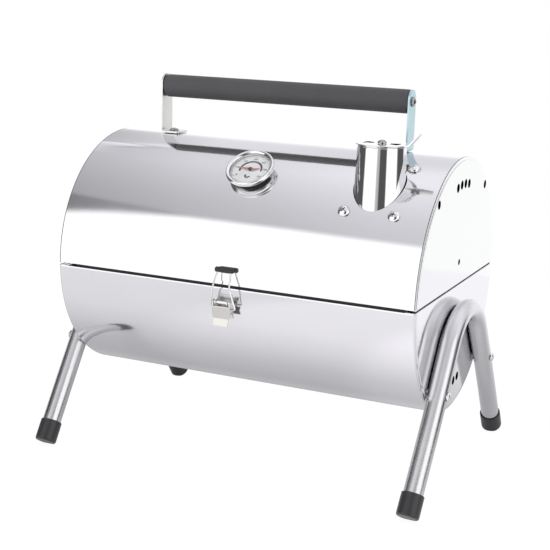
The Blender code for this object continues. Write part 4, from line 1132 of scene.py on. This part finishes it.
def overhead(graph, x, z, arc, sideways):
    """Grey boxes from the front over to the back, which fade towards a darker corner at the left end."""
    over = round_ramp(
        graph, arc, (-20, 0.8), (38, 0.7), (46, 0.7), (66, 0.78), (86, 0.9), (106, 1.02),
        (122, 1.00), (136, 0.85), (147, 0.82), (157, 0.84), (165, 0.98), (172, 1.15),
    )
    fade = graph.ramp(sideways, [(0.133, 0.6), (0.173, 0.65), (0.3, 0.745), (0.433, 0.865), (0.9, 1.11)])
    far_fade = graph.spread(sideways, 0.0, 0.9, 1.2, 1.1)
    beside = graph.between(graph.smooth(arc, at(122), at(131)), fade, far_fade)
    corner_top = graph.math("MULTIPLY_ADD", x, -0.533, 0.392)
    corner = graph.smooth(z, graph.math("SUBTRACT", corner_top, 0.008), corner_top, 1.0, 0.0)
    corner_depth = graph.spread(x, -0.56, -0.455, 0.5, 0.0)
    corner_tone = graph.math("SUBTRACT", 1.0, graph.times(corner, corner_depth))
    return graph.times(over, beside, corner_tone, dark_lines(graph, x, arc, sideways))


def studio():
    """Soft boxes painted on the world by direction: white ones low down, greyer ones above."""
    world = bpy.data.worlds.new("studio")
    world.use_nodes = True
    scene.world = world
    graph = Graph(world.node_tree)
    way = graph.add("ShaderNodeSeparateXYZ")
    graph.link(graph.place("Generated"), way.inputs[0])
    x, y, z = way.outputs
    forward = graph.times(y, -1.0)
    sideways = graph.spread(x, -0.6, -0.3, 0.0, 1.0)
    above = overhead(graph, x, z, turned(graph, z, forward), sideways)
    around = round_ramp(
        graph, turned(graph, x, forward), (-180, 1.13), (-112, 1.3), (-104, 0.1), (-62, 0.1), (-54, 1.45),
        (-4, 1.45), (3, 0.6), (12, 0.5), (15, 0.1), (42, 0.1), (48, 1.45), (92, 1.45), (100, 0.1),
        (136, 0.1), (146, 1.13), (180, 1.13),
    )
    # The height where the low boxes end: lower at the back, and towards the left end.
    behind = graph.smooth(y, -0.1, 0.3)
    stops = [(0.133, 0.474), (0.173, 0.516), (0.3, 0.588), (0.433, 0.625), (0.667, 0.637)]
    edge = graph.ramp(sideways, stops)
    middle = graph.math("MULTIPLY_ADD", behind, -0.398, edge)
    half = graph.math("MULTIPLY_ADD", behind, 0.05, 0.036)
    high = graph.smooth(z, graph.math("SUBTRACT", middle, half), graph.math("ADD", middle, half))
    eye = graph.eye()
    seen = graph.mix(eye, graph.between(high, around, above), WHITE)
    cool = graph.mix(high, WHITE, (0.985, 0.975, 1.02))
    colour = graph.mix(graph.math("SUBTRACT", 1.0, eye), seen, cool, "MULTIPLY")
    graph.link(colour, world.node_tree.nodes["Background"].inputs["Color"])


def floor():
    """Pale paper, evenly white to the camera. In reflections it glows with painted shade and light: dark
    under and behind the barrel, white in front, dimmer at the left and brighter at the right.
    """
    form = bmesh.new()
    bmesh.ops.create_grid(form, x_segments=1, y_segments=1, size=FLOOR)
    mesh = bpy.data.meshes.new("floor")
    form.to_mesh(mesh)
    form.free()
    paint = bpy.data.materials.new("floor_paper_painted_glow")
    paint.use_nodes = True
    graph = Graph(paint.node_tree)
    nodes = paint.node_tree.nodes
    shader = nodes["Principled BSDF"]
    shader.inputs["Base Color"].default_value = (0.84, 0.84, 0.84, 1.0)
    shader.inputs["Roughness"].default_value = 0.9
    shader.inputs["Specular IOR Level"].default_value = 0.0
    spot = graph.add("ShaderNodeSeparateXYZ")
    graph.link(graph.place(), spot.inputs[0])
    across, along, _ = spot.outputs
    # Painted shade lent to reflections: white in front, darkest under and behind the barrel.
    tones = ((-0.73, 1.0), (-0.35, 0.99), (-0.26, 0.97), (-0.18, 0.82), (-0.09, 0.55))
    tones += ((-0.02, 0.46), (0.03, 0.52), (0.1, 0.36), (0.23, 0.5), (0.55, 0.86))
    depth = graph.spread(along, -FLOOR, FLOOR, 0.0, 1.0)
    level = graph.ramp(depth, [((y + FLOOR) / (2 * FLOOR), tone) for y, tone in tones])
    # Painted shade towards the left end and painted light towards the right.
    painted_left_shade = graph.spread(across, -0.2, -0.12, 0.84, 1.0)
    painted_right_light = graph.smooth(across, 0.06, 0.13, 1.17, 1.4)
    eye = graph.eye()
    # The floor glows: evenly white to the camera, and with the painted shade and light in reflections.
    painted_glow = graph.add("ShaderNodeEmission")
    graph.feed(
        painted_glow,
        Strength=graph.between(eye, graph.times(level, painted_left_shade, painted_right_light), 1.06),
        Color=graph.mix(eye, (0.997, 0.978, 1.012), WHITE),
    )
    blend = graph.add("ShaderNodeMixShader")
    sources = (graph.spread(eye, 0.0, 1.0, 0.7, 0.9), shader.outputs[0], painted_glow.outputs[0])
    for source, socket in zip(sources, blend.inputs):
        graph.link(source, socket)
    graph.link(blend.outputs[0], nodes["Material Output"].inputs["Surface"])
    mesh.materials.append(paint)
    made = shown("floor", mesh)


def soft_light(name, location, target, size, power):
    data = bpy.data.lights.new(name, "AREA")
    data.size = size
    data.energy = power
    made = shown(name, data)
    made.location = location
    made.rotation_euler = (Vector(target) - Vector(location)).to_track_quat("-Z", "Y").to_euler()
    made.visible_glossy = False


studio()
floor()
soft_light("key", (-0.9, -1.0, 1.5), (0, 0, 0.2), 1.0, 8.0)

camera_data = bpy.data.cameras.new("camera")
camera_data.lens = 81.17
camera_data.sensor_width = 36.0
camera = shown("camera", camera_data)
tilt = Euler([radians(angle) for angle in (76.99135, -1.69124, 25.05273)])
camera.matrix_world = Matrix.Translation((0.54813, -1.20922, 0.49403)) @ tilt.to_matrix().to_4x4()
scene.camera = camera
scene.view_settings.view_transform = "Standard"
